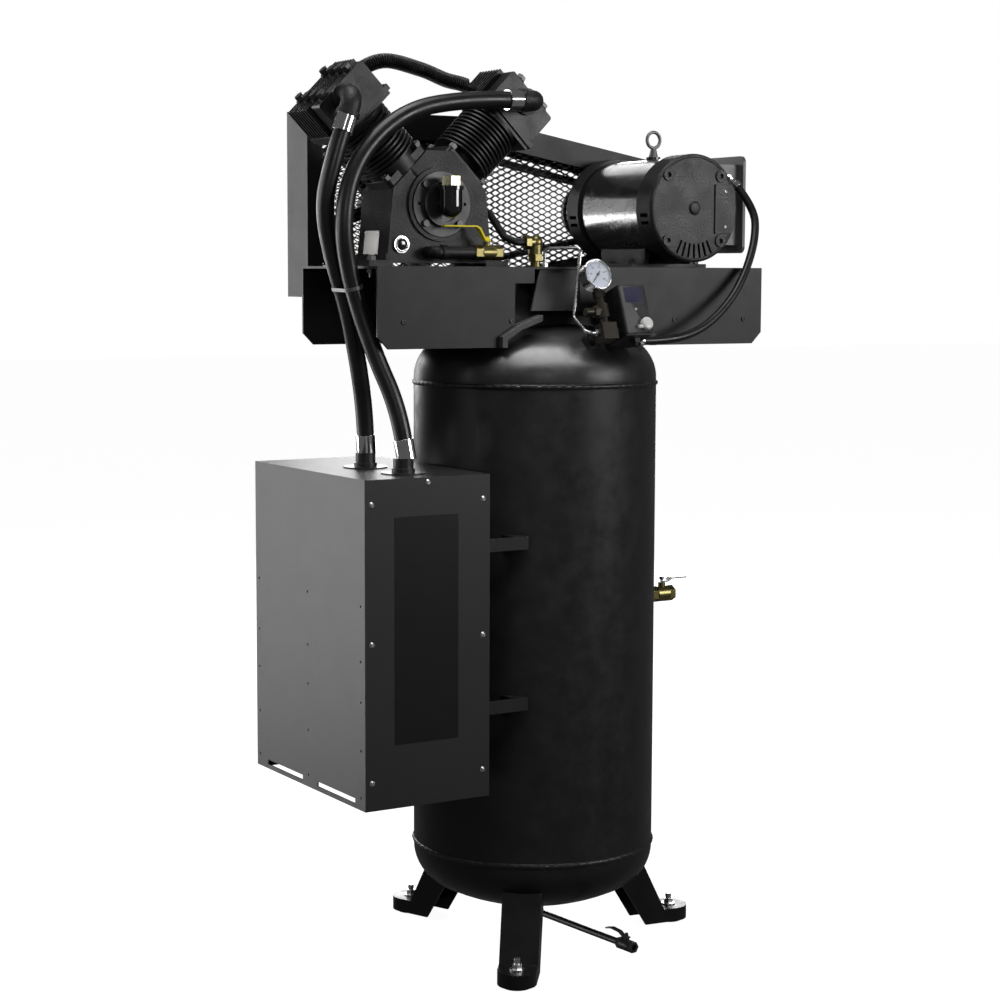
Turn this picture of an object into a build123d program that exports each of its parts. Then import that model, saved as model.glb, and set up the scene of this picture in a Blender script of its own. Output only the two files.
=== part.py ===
from build123d import *
import math
import os

os.makedirs("parts", exist_ok=True)

# Vertical two-stage V-twin workshop air compressor.  Units are millimetres.
# The origin lies on the floor, on the tank axis.  +X runs along the deck towards
# the motor, +Y runs to the belt guard behind the deck, +Z is up.

# tank
TANK_R = 254.0
TANK_WALL = 5.0
TANK_SEAM_LOW = 213.0
TANK_SEAM_HIGH = 1205.0
HEAD_DEPTH = 127.0
# legs
LEG_ANGLES = (-7.3, 112.7, 232.7)
FOOT_CIRCLE_R = 332.0
FOOT_TOP = 34.0
# deck
DECK_X0 = -460.0
DECK_X1 = 468.0
DECK_HALF_Y = 163.0
DECK_TOP = 1433.0
DECK_LOW = 1273.0
DECK_T = 5.0
CORNER_CUT = 24.0
# pump
PUMP_X = -256.0
PUMP_Z = 1557.0
CASE_Y0 = -48.0
CASE_Y1 = 80.0
BANK_Y = {"left": 6.0, "right": 30.0}
JOURNAL_R = 15.0
RUN_CLEAR = 0.05
THROW = 30.0
PIN_R = 13.0
BIG_END_R = 23.0
BORE_R = {"left": 47.0, "right": 35.0}
DECK_FACE = 96.0
BARREL_TOP = 232.0
PLATE_TOP = 240.0
HEAD_TOP = 326.0
HEAD_HALF_X = 75.0
HEAD_HALF_Y = 62.0
# drive
DRIVE_Y0 = 188.0
DRIVE_Y1 = 243.0
FLYWHEEL_R = 165.0
PULLEY_R = 62.0
GROOVE_DEPTH = 13.0
GROOVE_W = 13.5
BELT_W = 12.5
BELT_T = 10.6
BELT_LIFT = 1.0
GROOVE_YS = (203.0, 228.0)
# motor
MOTOR_X = 282.0
MOTOR_Z = 1556.0
SHELL_R = 105.0
BELL_R = 112.0
BELL_FRONT = -172.0
SHELL_Y0 = -120.0
SHELL_Y1 = 100.0
BELL_BACK = 145.0
MOTOR_SHAFT_R = 14.0
STATOR_R = 100.0
STATOR_BORE = 62.0
AIR_GAP = 0.6
# guard
GUARD_Y0 = 168.0
GUARD_Y1 = 262.0
GUARD_X0 = -444.0
GUARD_X1 = 410.0
GUARD_T = 3.0
# silencer cabinet
CAB_X0 = -536.0
CAB_X1 = -261.0
CAB_Y0 = -250.0
CAB_Y1 = 232.0
CAB_Z0 = 395.0
CAB_Z1 = 1032.0
CAB_T = 3.0
PORTS = ((-403.0, -162.0), (-406.0, -10.0))
# hoses
HOSE_R = 17.5
CONDUIT_R = 8.5

X_AXIS = (1, 0, 0)
Y_AXIS = (0, 1, 0)
Z_AXIS = (0, 0, 1)
NEG_X = (-1, 0, 0)
NEG_Y = (0, -1, 0)
DIAG = math.sqrt(0.5)


def cyl(radius, height, at, axis=Z_AXIS):
    return Solid.make_cylinder(radius, height, Plane(origin=at, z_dir=axis))


def ring(outer, inner, height, at, axis=Z_AXIS):
    return cyl(outer, height, at, axis) - cyl(inner, height, at, axis)


def cone(r0, r1, height, at, axis=Z_AXIS):
    return Solid.make_cone(r0, r1, height, Plane(origin=at, z_dir=axis))


def box(x0, x1, y0, y1, z0, z1):
    return Solid.make_box(x1 - x0, y1 - y0, z1 - z0, Plane((x0, y0, z0)))


def slab(points, plane, depth):
    face = plane * make_face(Polyline(*points, close=True))
    return extrude(face, depth, dir=plane.z_dir)


def xz_slab(points, y0, y1):
    plane = Plane(origin=(0, y1, 0), x_dir=X_AXIS, z_dir=NEG_Y)
    return slab(points, plane, y1 - y0)


def hexagon(across, height, at, axis=Z_AXIS):
    plane = Plane(origin=at, z_dir=axis)
    face = plane * RegularPolygon(across / math.sqrt(3), 6)
    return extrude(face, height, dir=Vector(*axis))


def spun(points, at, axis):
    plane = Plane(origin=at, z_dir=axis)
    across = plane.x_dir
    flat = Plane(origin=at, x_dir=across, z_dir=across.cross(plane.z_dir))
    face = flat * make_face(Polyline(*points, close=True))
    return revolve(face, Axis(at, axis), 360)


def rod(points, radii, radius):
    path = FilletPolyline(*points, radius=radii)
    start = Plane(origin=path @ 0, z_dir=path % 0)
    return sweep(start * Circle(radius), path=path)


def bend_radii(points):
    found = []
    for i in range(1, len(points) - 1):
        before = Vector(*points[i]) - Vector(*points[i - 1])
        after = Vector(*points[i + 1]) - Vector(*points[i])
        turn = math.radians(before.get_angle(after))
        short = min(before.length, after.length)
        found.append(0.45 * short / math.tan(turn / 2))
    return found


def cord(name, points, radius):
    radii = bend_radii(points)
    solid = rod(points, radii, radius)
    path = FilletPolyline(*points, radius=radii)
    section = math.pi * radius ** 2
    print(name, "bend radii", [round(r) for r in radii])
    ratio = solid.volume / section / path.length
    runs = [round((Vector(*b) - Vector(*a)).length) for a, b in zip(points, points[1:])]
    print(name, "length", round(path.length, 1), "volume ratio", round(ratio, 4), "runs", runs)
    return solid


def save(name, shape):
    solids = shape if isinstance(shape, list) else [shape]
    out = []
    for item in solids:
        out.extend(item.solids())
    made = Compound(children=out) if len(out) > 1 else out[0]
    export_step(made, "parts/" + name + ".step")
    print(name, len(out), "solids")


def polar(radius, degrees, z):
    turn = math.radians(degrees)
    return (radius * math.cos(turn), radius * math.sin(turn), z)


def bank_place(side):
    sign = 1 if side == "right" else -1
    lateral = (DIAG, 0, -sign * DIAG)
    axial = (sign * DIAG, 0, DIAG)
    return Plane(origin=(PUMP_X, BANK_Y[side], PUMP_Z), x_dir=lateral, z_dir=axial)


def tongue(x0, x1, half, z0, z1):
    edges = [Line((x0, -half), (x1, -half)), ThreePointArc((x1, -half), (x1 + half, 0), (x1, half)),
             Line((x1, half), (x0, half)), Line((x0, half), (x0, -half))]
    return Pos(0, 0, z0) * extrude(make_face(edges), z1 - z0)


# a head is a knuckle arc and a crown arc, and a wall keeps both centres
KNUCKLE_R = 88.0
KNUCKLE_X = TANK_R - KNUCKLE_R
CROWN_R = (HEAD_DEPTH ** 2 + KNUCKLE_X ** 2 - KNUCKLE_R ** 2) / (2 * (HEAD_DEPTH - KNUCKLE_R))
CROWN_DROP = CROWN_R - HEAD_DEPTH
KNUCKLE_TURN = math.atan2(CROWN_DROP, KNUCKLE_X)


def head_arcs(shrink, seam, way):
    def on_knuckle(turn):
        reach = KNUCKLE_R - shrink
        return (KNUCKLE_X + reach * math.cos(turn), 0, seam + way * reach * math.sin(turn))

    def on_crown(turn):
        reach = CROWN_R - shrink
        return (reach * math.cos(turn), 0, seam + way * (reach * math.sin(turn) - CROWN_DROP))

    half_way = (KNUCKLE_TURN + math.pi / 2) / 2
    knuckle = ThreePointArc(on_knuckle(0), on_knuckle(KNUCKLE_TURN / 2), on_knuckle(KNUCKLE_TURN))
    top = (0, 0, seam + way * (HEAD_DEPTH - shrink))
    return [knuckle, ThreePointArc(on_knuckle(KNUCKLE_TURN), on_crown(half_way), top)]


def tank_body(shrink, bead):
    radius = TANK_R - shrink
    low = TANK_SEAM_LOW
    high = TANK_SEAM_HIGH
    wall = [(radius, low)]
    if bead:
        for z in (low + BEAD_W, high - BEAD_W):
            for dx, dz in ((0, -0.5), (0.8, -0.15), (0.8, 0.15), (0, 0.5)):
                wall.append((radius + dx * BEAD_H, z + dz * BEAD_W))
    wall.append((radius, high))
    edges = head_arcs(shrink, low, -1)
    for (x0, z0), (x1, z1) in zip(wall, wall[1:]):
        edges.append(Line((x0, 0, z0), (x1, 0, z1)))
    edges += head_arcs(shrink, high, 1)
    edges.append(Line((0, 0, high + HEAD_DEPTH - shrink), (0, 0, low - HEAD_DEPTH + shrink)))
    # the seam of the revolved faces is turned away from every fitting
    return Rot(0, 0, 50) * revolve(make_face(edges), Axis.Z, 360)


# ---------------------------------------------------------------- tank and legs
BEAD_W = 10.0
BEAD_H = 3.5
tank_outer = tank_body(0, True)
tank_inner = tank_body(TANK_WALL, False)
OUTLET_Z = 721.0
BUNG_R = 20.0
PIPE_R = 10.5
DRAIN_PIPE_R = 7.0
BOTTOM_Z = TANK_SEAM_LOW - HEAD_DEPTH
# check valve seat on the dome, under the deck
CHECK_X = -38.0
CHECK_Y = -60.0
# tilted frame shared by the pressure switch, the manifold and the gauge
TILT_UP = (0, 0.352, 0.936)
TILT_BACK = (0, 0.936, -0.352)
TILT_FRONT = (0, -0.936, 0.352)
MANIFOLD = (0.0, -266.0, 1303.0)


def along(start, direction, distance):
    return tuple(s + d * distance for s, d in zip(start, direction))


tank = tank_outer
tank += cyl(BUNG_R, 16, (TANK_R - 8, 0, OUTLET_Z), X_AXIS)
tank += cyl(16, 14, (0, 0, BOTTOM_Z - 8))
tank += cyl(19, 40, (CHECK_X, CHECK_Y, 1295))
tank += cyl(18, 30, along(MANIFOLD, TILT_BACK, 50), TILT_BACK)
tank -= tank_inner
tank -= cyl(PIPE_R, 30, (TANK_R - 20, 0, OUTLET_Z), X_AXIS)
tank -= cyl(DRAIN_PIPE_R, 40, (0, 0, BOTTOM_Z - 20))
tank -= cyl(11, 60, (CHECK_X, CHECK_Y, 1285))
tank -= cyl(11, 60, along(MANIFOLD, TILT_BACK, 45), TILT_BACK)
save("tank_shell", tank)

LEG_T = 5.0
LEG_HALF = 40.0
LIP_LOW = 5.0
leg_line = ((228.0, 172.0), (297.2, FOOT_TOP - 2.4))
lean = math.atan2(leg_line[1][0] - leg_line[0][0], leg_line[0][1] - leg_line[1][1])
legs = []
pads = []
studs = []
for degrees in LEG_ANGLES:
    length = math.hypot(leg_line[1][0] - leg_line[0][0], leg_line[0][1] - leg_line[1][1])
    down = Vector(math.sin(lean), 0, -math.cos(lean))
    out = Vector(math.cos(lean), 0, math.sin(lean))
    face_plane = Plane(origin=(leg_line[0][0], 0, leg_line[0][1]), x_dir=Vector(0, 1, 0), z_dir=out)
    rise = face_plane.y_dir.dot(down)
    sign = 1 if rise > 0 else -1
    sheet = slab([(-LEG_HALF, 0), (LEG_HALF, 0), (LEG_HALF, sign * length), (-LEG_HALF, sign * length)],
                 face_plane, LEG_T)
    leg = sheet
    for side in (-1, 1):
        web = xz_slab([(150, 176), (228, 176), (300, 30), (300, LIP_LOW), (256, LIP_LOW)],
                      -LEG_T / 2, LEG_T / 2)
        leg += Pos(0, side * (LEG_HALF - LEG_T / 2), 0) * web
    foot = tongue(262, FOOT_CIRCLE_R, LEG_HALF, FOOT_TOP - LEG_T, FOOT_TOP)
    lip = tongue(270, FOOT_CIRCLE_R, LEG_HALF, LIP_LOW, FOOT_TOP - 1)
    lip -= tongue(260, FOOT_CIRCLE_R, LEG_HALF - 4, LIP_LOW - 5, FOOT_TOP + 5)
    leg += foot + lip
    leg -= cyl(6.5, 30, (FOOT_CIRCLE_R, 0, FOOT_TOP - 15))
    turned = Rot(0, 0, degrees) * leg
    legs.append(turned - tank_outer)
    spot = polar(FOOT_CIRCLE_R, degrees, 0)
    pad = cone(30, 26, FOOT_TOP - LEG_T, spot) - cyl(6.5, 22, (spot[0], spot[1], 10))
    pads.append(pad)
    stud = cyl(6.4, FOOT_TOP + 14, (spot[0], spot[1], 10))
    stud += cyl(15, 2.5, (spot[0], spot[1], FOOT_TOP))
    stud += hexagon(19, 10, (spot[0], spot[1], FOOT_TOP + 2.5))
    studs.append(stud)
save("tank_legs", legs)
save("foot_pads", pads)
save("foot_studs", studs)

# ---------------------------------------------------------------- deck
deck = box(DECK_X0, DECK_X1, -DECK_HALF_Y, DECK_HALF_Y, DECK_TOP - DECK_T, DECK_TOP)
flange_line = [
    (DECK_X0, DECK_TOP), (DECK_X1, DECK_TOP), (DECK_X1, DECK_LOW + CORNER_CUT),
    (DECK_X1 - CORNER_CUT, DECK_LOW), (DECK_X0 + CORNER_CUT, DECK_LOW), (DECK_X0, DECK_LOW + CORNER_CUT),
]
front = xz_slab(flange_line, -DECK_HALF_Y, -DECK_HALF_Y + DECK_T)
arch_line = [(-186, 1200), (-186, 1295), (-145, 1319), (-92, 1337), (-30, 1344),
             (30, 1344), (92, 1337), (145, 1319), (186, 1295), (186, 1200)]
front -= xz_slab(arch_line, -200, -100)
front -= box(-150, -104, -200, -100, 1310, 1400)
front -= box(-104, 4, -200, -100, 1330, DECK_TOP - DECK_T)
back = xz_slab(flange_line, DECK_HALF_Y - DECK_T, DECK_HALF_Y)
back -= xz_slab(arch_line, 100, 200)
deck += front + back
LUG_SPOTS = [(PUMP_X + sx * 142, y) for sx in (-1, 1) for y in (-23, 55)]
MOTOR_SPOTS = [(MOTOR_X + sx * 82, y) for sx in (-1, 1) for y in (-62, 58)]
for x, y in LUG_SPOTS + MOTOR_SPOTS:
    deck -= cyl(5.5, 20, (x, y, DECK_TOP - 10))
deck -= cyl(13, 20, (CHECK_X, CHECK_Y, DECK_TOP - 10))
save("deck_plate", deck)

# saddle: two webs shaped to the dome, a riser panel behind the window, an arch lip
SADDLE_TOP = DECK_TOP - DECK_T
saddle = []
for y0 in (-116, 110):
    web = box(-170, 170, y0, y0 + 6, 1225, SADDLE_TOP) - box(-90, 90, y0 - 1, y0 + 7, 1345, 1405)
    saddle.append(web - tank_outer)
riser = xz_slab([(-108, 1345), (12, 1345), (12, SADDLE_TOP), (-88, SADDLE_TOP)], -157, -152)
riser += box(-60, -54, -152, -116, 1345, SADDLE_TOP)
lip = xz_slab([(-186, 1273), (-186, 1295), (-145, 1319), (-92, 1337), (-92, 1325), (-141, 1308),
               (-174, 1288), (-174, 1273)], -176, -150)
lip += xz_slab([(186, 1273), (186, 1295), (145, 1319), (92, 1337), (92, 1325), (141, 1308),
                (174, 1288), (174, 1273)], -176, -150)
saddle.append(riser)
for part in lip.solids():
    saddle.append(part - tank_outer)
save("deck_saddle", saddle)

# ---------------------------------------------------------------- crankcase
case_line = [(-121, -117), (-106, 29.7), (-29.7, 106), (29.7, 106), (106, 29.7), (121, -117)]
core_line = [(-109, -105), (-96, 25), (-26, 95), (26, 95), (96, 25), (109, -105)]


def around_pump(points):
    return [(PUMP_X + x, PUMP_Z + z) for x, z in points]


case = xz_slab(around_pump(case_line), CASE_Y0, CASE_Y1)
case = case.fillet(5, case.edges().filter_by(Axis.Y))
case -= xz_slab(around_pump(core_line), CASE_Y0 + 10, CASE_Y1 - 10)
for y0, y1, r in ((CASE_Y0, CASE_Y0 + 22, 42), (CASE_Y1 - 22, CASE_Y1, 46)):
    case += cyl(r, y1 - y0, (PUMP_X, y0, PUMP_Z), Y_AXIS)
case += ring(74, 66, 5, (PUMP_X, CASE_Y0 - 5, PUMP_Z), Y_AXIS)
for sx in (-1, 1):
    for y0, y1 in ((CASE_Y0, 2), (30, CASE_Y1)):
        x0 = PUMP_X + (-160 if sx < 0 else 108)
        lug = box(x0, x0 + 52, y0, y1, DECK_TOP, DECK_TOP + 12)
        lug += box(PUMP_X + sx * 115 - 8, PUMP_X + sx * 115 + 8, y0, y1, DECK_TOP, DECK_TOP + 24)
        case += lug
BEARING_R = 31.0
case -= cyl(BEARING_R, CASE_Y1 - CASE_Y0 + 20, (PUMP_X, CASE_Y0 - 10, PUMP_Z), Y_AXIS)
for x, y in LUG_SPOTS:
    case -= cyl(5.5, 20, (x, y, DECK_TOP - 2))
for side in ("left", "right"):
    place = bank_place(side)
    case -= place.location * cyl(BORE_R[side] + 7, 40, (0, 0, DECK_FACE - 25))
OIL_X = -285.0
OIL_Z = 1461.0
GLASS = (-346.0, 1476.0)
case -= cyl(12, 30, (OIL_X, CASE_Y0 - 8, OIL_Z), Y_AXIS)
case -= cyl(11, 30, (GLASS[0], CASE_Y0 - 8, GLASS[1]), Y_AXIS)
save("crankcase", case)

COVER_T = 8.0
cover = cyl(65, COVER_T, (PUMP_X, CASE_Y0 - COVER_T, PUMP_Z), Y_AXIS)
cover += ring(44, 36, 10, (PUMP_X, CASE_Y0 - COVER_T - 10, PUMP_Z), Y_AXIS)
cover += cyl(37, 6, (PUMP_X, CASE_Y0 - COVER_T - 6, PUMP_Z), Y_AXIS)
cover += cyl(BEARING_R, 2, (PUMP_X, CASE_Y0, PUMP_Z), Y_AXIS)
COVER_BOLT_R = 54.5
for degrees in (45, 135, 225, 315):
    x = PUMP_X + COVER_BOLT_R * math.cos(math.radians(degrees))
    z = PUMP_Z + COVER_BOLT_R * math.sin(math.radians(degrees))
    cover -= cyl(4, COVER_T, (x, CASE_Y0 - COVER_T, z), Y_AXIS)
for side in (-1, 1):
    cover -= cyl(3.6, COVER_T - 1, (PUMP_X + side * 52, CASE_Y0 - COVER_T, PUMP_Z), Y_AXIS)
CUP_R = 22.5
cover -= cyl(13, 6, (PUMP_X, CASE_Y0 - COVER_T - 6, PUMP_Z), Y_AXIS)
carrier = cyl(70, 12, (PUMP_X, CASE_Y1, PUMP_Z), Y_AXIS)
carrier += cone(46, 34, 28, (PUMP_X, CASE_Y1 + 12, PUMP_Z), Y_AXIS)
carrier -= cyl(JOURNAL_R + 0.6, 60, (PUMP_X, CASE_Y1 - 5, PUMP_Z), Y_AXIS)
for degrees in range(30, 390, 60):
    x = PUMP_X + 60 * math.cos(math.radians(degrees))
    z = PUMP_Z + 60 * math.sin(math.radians(degrees))
    carrier -= cyl(4, 12, (x, CASE_Y1, z), Y_AXIS)
save("bearing_covers", [cover, carrier])

# ---------------------------------------------------------------- cylinders, plates, heads
FLANGE_T = 17.0
NUT_X = 47.5
NUT_Y = 42.5
HEAD_FINS = 8
FIN_PITCH = 11.0
IC_Y = 40.0
IC_AXIAL = {"left": 283.0, "right": 258.0}
cylinders = []
plates = []
heads = {}
for side in ("left", "right"):
    place = bank_place(side)
    bore = BORE_R[side]
    wall = bore + 7
    profile = [(bore, DECK_FACE + 1), (bore, BARREL_TOP), (64, BARREL_TOP), (64, BARREL_TOP - 9)]
    level = BARREL_TOP - 9
    while level - 9.5 > DECK_FACE + FLANGE_T + 12:
        profile.append((wall, level))
        profile.append((wall, level - 6))
        profile.append((64, level - 6))
        profile.append((64, level - 9.5))
        level -= 9.5
    profile.append((wall, level))
    profile.append((wall, DECK_FACE + 1))
    barrel = spun(profile, (0, 0, 0), Z_AXIS)
    foot = box(-55, 55, -50, 50, DECK_FACE, DECK_FACE + FLANGE_T)
    foot = foot.fillet(8, foot.edges().filter_by(Axis.Z))
    foot -= cyl(bore, 60, (0, 0, DECK_FACE - 20))
    for sx in (-1, 1):
        for sy in (-1, 1):
            foot -= cyl(5, 60, (sx * NUT_X, sy * NUT_Y, DECK_FACE - 20))
    whole = barrel + foot
    cylinders.append(place.location * whole)
    plate = box(-70, 70, -58, 58, BARREL_TOP, PLATE_TOP)
    for dx, dy in ((-22, 0), (22, 0)):
        plate -= cyl(9, 8, (dx, dy, BARREL_TOP))
    plates.append(place.location * plate)
    head = box(-HEAD_HALF_X, HEAD_HALF_X, -HEAD_HALF_Y, HEAD_HALF_Y, PLATE_TOP, PLATE_TOP + 12)
    head += box(-52, 52, -56, 56, PLATE_TOP + 12, HEAD_TOP - 14)
    front_y = -HEAD_HALF_Y
    chest = box(-66, 66, front_y, front_y + 34, PLATE_TOP + 12, HEAD_TOP - 4)
    chest = chest.fillet(6, chest.edges().filter_by(Axis.Y))
    head += chest
    for i in range(HEAD_FINS):
        y = front_y + 42 + i * FIN_PITCH
        head += box(-HEAD_HALF_X + 1, HEAD_HALF_X - 1, y, y + 4.5, PLATE_TOP + 12, HEAD_TOP - 4)
    tip = -1 if side == "right" else 1
    head += cyl(17, 30, (tip * 45, IC_Y - BANK_Y[side], IC_AXIAL[side]), (tip, 0, 0))
    if side == "right":
        head += cyl(15, 14, (-20, HEAD_HALF_Y - 14, 275), Y_AXIS)
    for dx in (-38, 38):
        for dy in (-48, -16, 16, 48):
            head += cyl(12, HEAD_TOP - PLATE_TOP, (dx, dy, PLATE_TOP))
    head -= box(-48, 48, -44, 44, PLATE_TOP, PLATE_TOP + 40)
    for dx in (-38, 38):
        for dy in (-48, -16, 16, 48):
            post = cyl(9, 40, (dx, dy, PLATE_TOP))
            head += post
            head -= cyl(5, 120, (dx, dy, PLATE_TOP - 5))
    heads[side] = (place, head)


def head_hole(side, at, axis, radius, depth):
    place, head = heads[side]
    heads[side] = (place, head - (place.location.inverse() * cyl(radius, depth, at, axis)))


ELBOW_R = 22.0
ELBOW = {"left": (-475.0, 1760.0), "right": (-44.0, 1769.0)}
ELBOW_Y = {"left": BANK_Y["left"] - HEAD_HALF_Y, "right": BANK_Y["right"] - HEAD_HALF_Y}
for side in ("left", "right"):
    x, z = ELBOW[side]
    head_hole(side, (x, ELBOW_Y[side] - 2, z), Y_AXIS, 15, 30)
save("valve_plates", plates)
save("cylinders", cylinders)
for side in ("left", "right"):
    place, head = heads[side]
    save("head_" + side, place.location * head)

bolts = []
for side in ("left", "right"):
    place = bank_place(side)
    for dx in (-38, 38):
        for dy in (-48, -16, 16, 48):
            bolt = hexagon(17, 9, (dx, dy, HEAD_TOP))
            bolt += cyl(4.9, HEAD_TOP - PLATE_TOP + 9, (dx, dy, PLATE_TOP))
            bolts.append(place.location * bolt)
    for sx in (-1, 1):
        for sy in (-1, 1):
            nut = hexagon(16, 9, (sx * NUT_X, sy * NUT_Y, DECK_FACE + FLANGE_T))
            nut += cyl(4.9, FLANGE_T + 12, (sx * NUT_X, sy * NUT_Y, DECK_FACE))
            bolts.append(place.location * nut)
for degrees in (45, 135, 225, 315):
    x = PUMP_X + COVER_BOLT_R * math.cos(math.radians(degrees))
    z = PUMP_Z + COVER_BOLT_R * math.sin(math.radians(degrees))
    y = CASE_Y0 - COVER_T
    bolts.append(hexagon(13, 6, (x, y - 6, z), Y_AXIS) + cyl(3.9, COVER_T, (x, y, z), Y_AXIS))
for degrees in range(30, 390, 60):
    x = PUMP_X + 60 * math.cos(math.radians(degrees))
    z = PUMP_Z + 60 * math.sin(math.radians(degrees))
    bolts.append(hexagon(13, 6, (x, CASE_Y1 + 12, z), Y_AXIS) + cyl(3.9, 12, (x, CASE_Y1, z), Y_AXIS))
for x, y in LUG_SPOTS:
    bolt = cyl(5.4, 44, (x, y, DECK_TOP - 22))
    bolt += hexagon(17, 8, (x, y, DECK_TOP + 12))
    bolt += hexagon(17, 8, (x, y, DECK_TOP - DECK_T - 8))
    bolts.append(bolt)
for x, y in MOTOR_SPOTS:
    bolt = cyl(5.4, 36, (x, y, DECK_TOP - 18))
    bolt += hexagon(17, 7, (x, y, DECK_TOP + 8))
    bolt += hexagon(17, 8, (x, y, DECK_TOP - DECK_T - 8))
    bolts.append(bolt)
save("machine_bolts", bolts)

# ---------------------------------------------------------------- crankshaft, rods, bearings
shaft_r = JOURNAL_R - RUN_CLEAR
crank = cyl(shaft_r, 24, (PUMP_X, -44, PUMP_Z), Y_AXIS)
crank += cyl(shaft_r, DRIVE_Y1 + 8 - 56, (PUMP_X, 56, PUMP_Z), Y_AXIS)
pin_z = PUMP_Z - THROW
for y0 in (-20, 44):
    web = box(-24, 24, y0, y0 + 12, -44, 30)
    web = web.moved(Location((PUMP_X, 0, PUMP_Z)))
    weight = cyl(56, 12, (PUMP_X, y0, PUMP_Z), Y_AXIS)
    weight -= box(PUMP_X - 60, PUMP_X + 60, y0, y0 + 12, PUMP_Z - 60, PUMP_Z + 12)
    crank += web + weight
crank += cyl(PIN_R, 52, (PUMP_X, -8, pin_z), Y_AXIS)
for y in (BANK_Y["left"], BANK_Y["right"]):
    crank += cyl(BIG_END_R, 20, (PUMP_X, y - 10, pin_z), Y_AXIS)
save("crankshaft", crank)

pistons = []
ROD_FOOT = 58.0
for side in ("left", "right"):
    place = bank_place(side)
    bore = BORE_R[side]
    skirt = bore - RUN_CLEAR
    crown = 222.0 if side == "left" else 205.0
    piston = cyl(skirt, 46, (0, 0, crown - 46)) - cyl(skirt - 6, 38, (0, 0, crown - 46))
    piston += cyl(8, 2 * (skirt - 2), (0, -(skirt - 2), crown - 26), Y_AXIS)
    shank = box(-7, 7, -5, 5, ROD_FOOT, crown - 30)
    shank += cyl(15, 16, (0, -8, crown - 26), Y_AXIS)
    shank += box(-13, 13, -8, 8, ROD_FOOT, ROD_FOOT + 9)
    pistons.append(place.location * (piston + shank))
save("pistons_rods", pistons)

bearings = []
for x, z, y, inner, outer in (
    (PUMP_X, PUMP_Z, CASE_Y0 + 2, JOURNAL_R, BEARING_R),
    (PUMP_X, PUMP_Z, CASE_Y1 - 20, JOURNAL_R, BEARING_R),
    (MOTOR_X, MOTOR_Z, BELL_FRONT + 12, MOTOR_SHAFT_R, 26.0),
    (MOTOR_X, MOTOR_Z, BELL_BACK - 26, MOTOR_SHAFT_R, 26.0),
):
    bearings.append(ring(outer, inner, 16, (x, y, z), Y_AXIS))
save("shaft_bearings", bearings)

# ---------------------------------------------------------------- flywheel, pulley, belts
def sheave(radius, hub_r, bore_r, spokes, at):
    x, z = at
    width = DRIVE_Y1 - DRIVE_Y0
    profile = [(radius - 24 if spokes else hub_r, 0), (radius, 0)]
    for groove in GROOVE_YS:
        offset = groove - DRIVE_Y0
        profile.append((radius, offset - GROOVE_W / 2))
        profile.append((radius - GROOVE_DEPTH, offset - GROOVE_W / 2))
        profile.append((radius - GROOVE_DEPTH, offset + GROOVE_W / 2))
        profile.append((radius, offset + GROOVE_W / 2))
    profile.append((radius, width))
    profile.append((radius - 24 if spokes else hub_r, width))
    wheel = spun(profile, (x, DRIVE_Y0, z), Y_AXIS)
    wheel += ring(hub_r, bore_r, width, (x, DRIVE_Y0, z), Y_AXIS)
    if spokes:
        for i in range(spokes):
            arm = box(hub_r - 6, radius - 20, -13, 13, DRIVE_Y0 + 20, DRIVE_Y1 - 17)
            place = Plane(origin=(x, 0, z), x_dir=X_AXIS, z_dir=Y_AXIS).location
            wheel += place * (Rot(0, 0, 90 + i * 360 / spokes) * arm)
    return wheel


flywheel = sheave(FLYWHEEL_R, 36, shaft_r, 5, (PUMP_X, PUMP_Z))
save("flywheel", flywheel)
motor_shaft = MOTOR_SHAFT_R - RUN_CLEAR
pulley = sheave(PULLEY_R, 42, motor_shaft, 0, (MOTOR_X, MOTOR_Z))
save("motor_pulley", pulley)


def belt_loop(flywheel_r, pulley_r, y0, y1):
    a = Vector(PUMP_X, PUMP_Z)
    b = Vector(MOTOR_X, MOTOR_Z)
    span = (b - a).length
    tilt = math.atan2(b.Y - a.Y, b.X - a.X)
    spread = math.acos((flywheel_r - pulley_r) / span)
    loop = cyl(flywheel_r, y1 - y0, (PUMP_X, y0, PUMP_Z), Y_AXIS)
    loop += cyl(pulley_r, y1 - y0, (MOTOR_X, y0, MOTOR_Z), Y_AXIS)
    quad = []
    corners = ((a, flywheel_r, spread), (b, pulley_r, spread),
               (b, pulley_r, -spread), (a, flywheel_r, -spread))
    for centre, radius, turn in corners:
        quad.append((centre.X + radius * math.cos(tilt + turn), centre.Y + radius * math.sin(tilt + turn)))
    return loop + xz_slab(quad, y0, y1)


belts = []
for groove in GROOVE_YS:
    y0 = groove - BELT_W / 2
    y1 = groove + BELT_W / 2
    low_f = FLYWHEEL_R - GROOVE_DEPTH + BELT_LIFT
    low_p = PULLEY_R - GROOVE_DEPTH + BELT_LIFT
    outer = belt_loop(low_f + BELT_T, low_p + BELT_T, y0, y1)
    inner = belt_loop(low_f, low_p, y0, y1)
    belts.append(outer - inner)
save("v_belts", belts)

# ---------------------------------------------------------------- pump piping
IC_CORE_R = 9.5
IC_FIN_R = 15.5
IC_RINGS = 34


def bank_point(side, lateral, y, axial):
    sign = 1 if side == "right" else -1
    return (PUMP_X + DIAG * (sign * axial + lateral), y, PUMP_Z + DIAG * (axial - sign * lateral))


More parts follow.
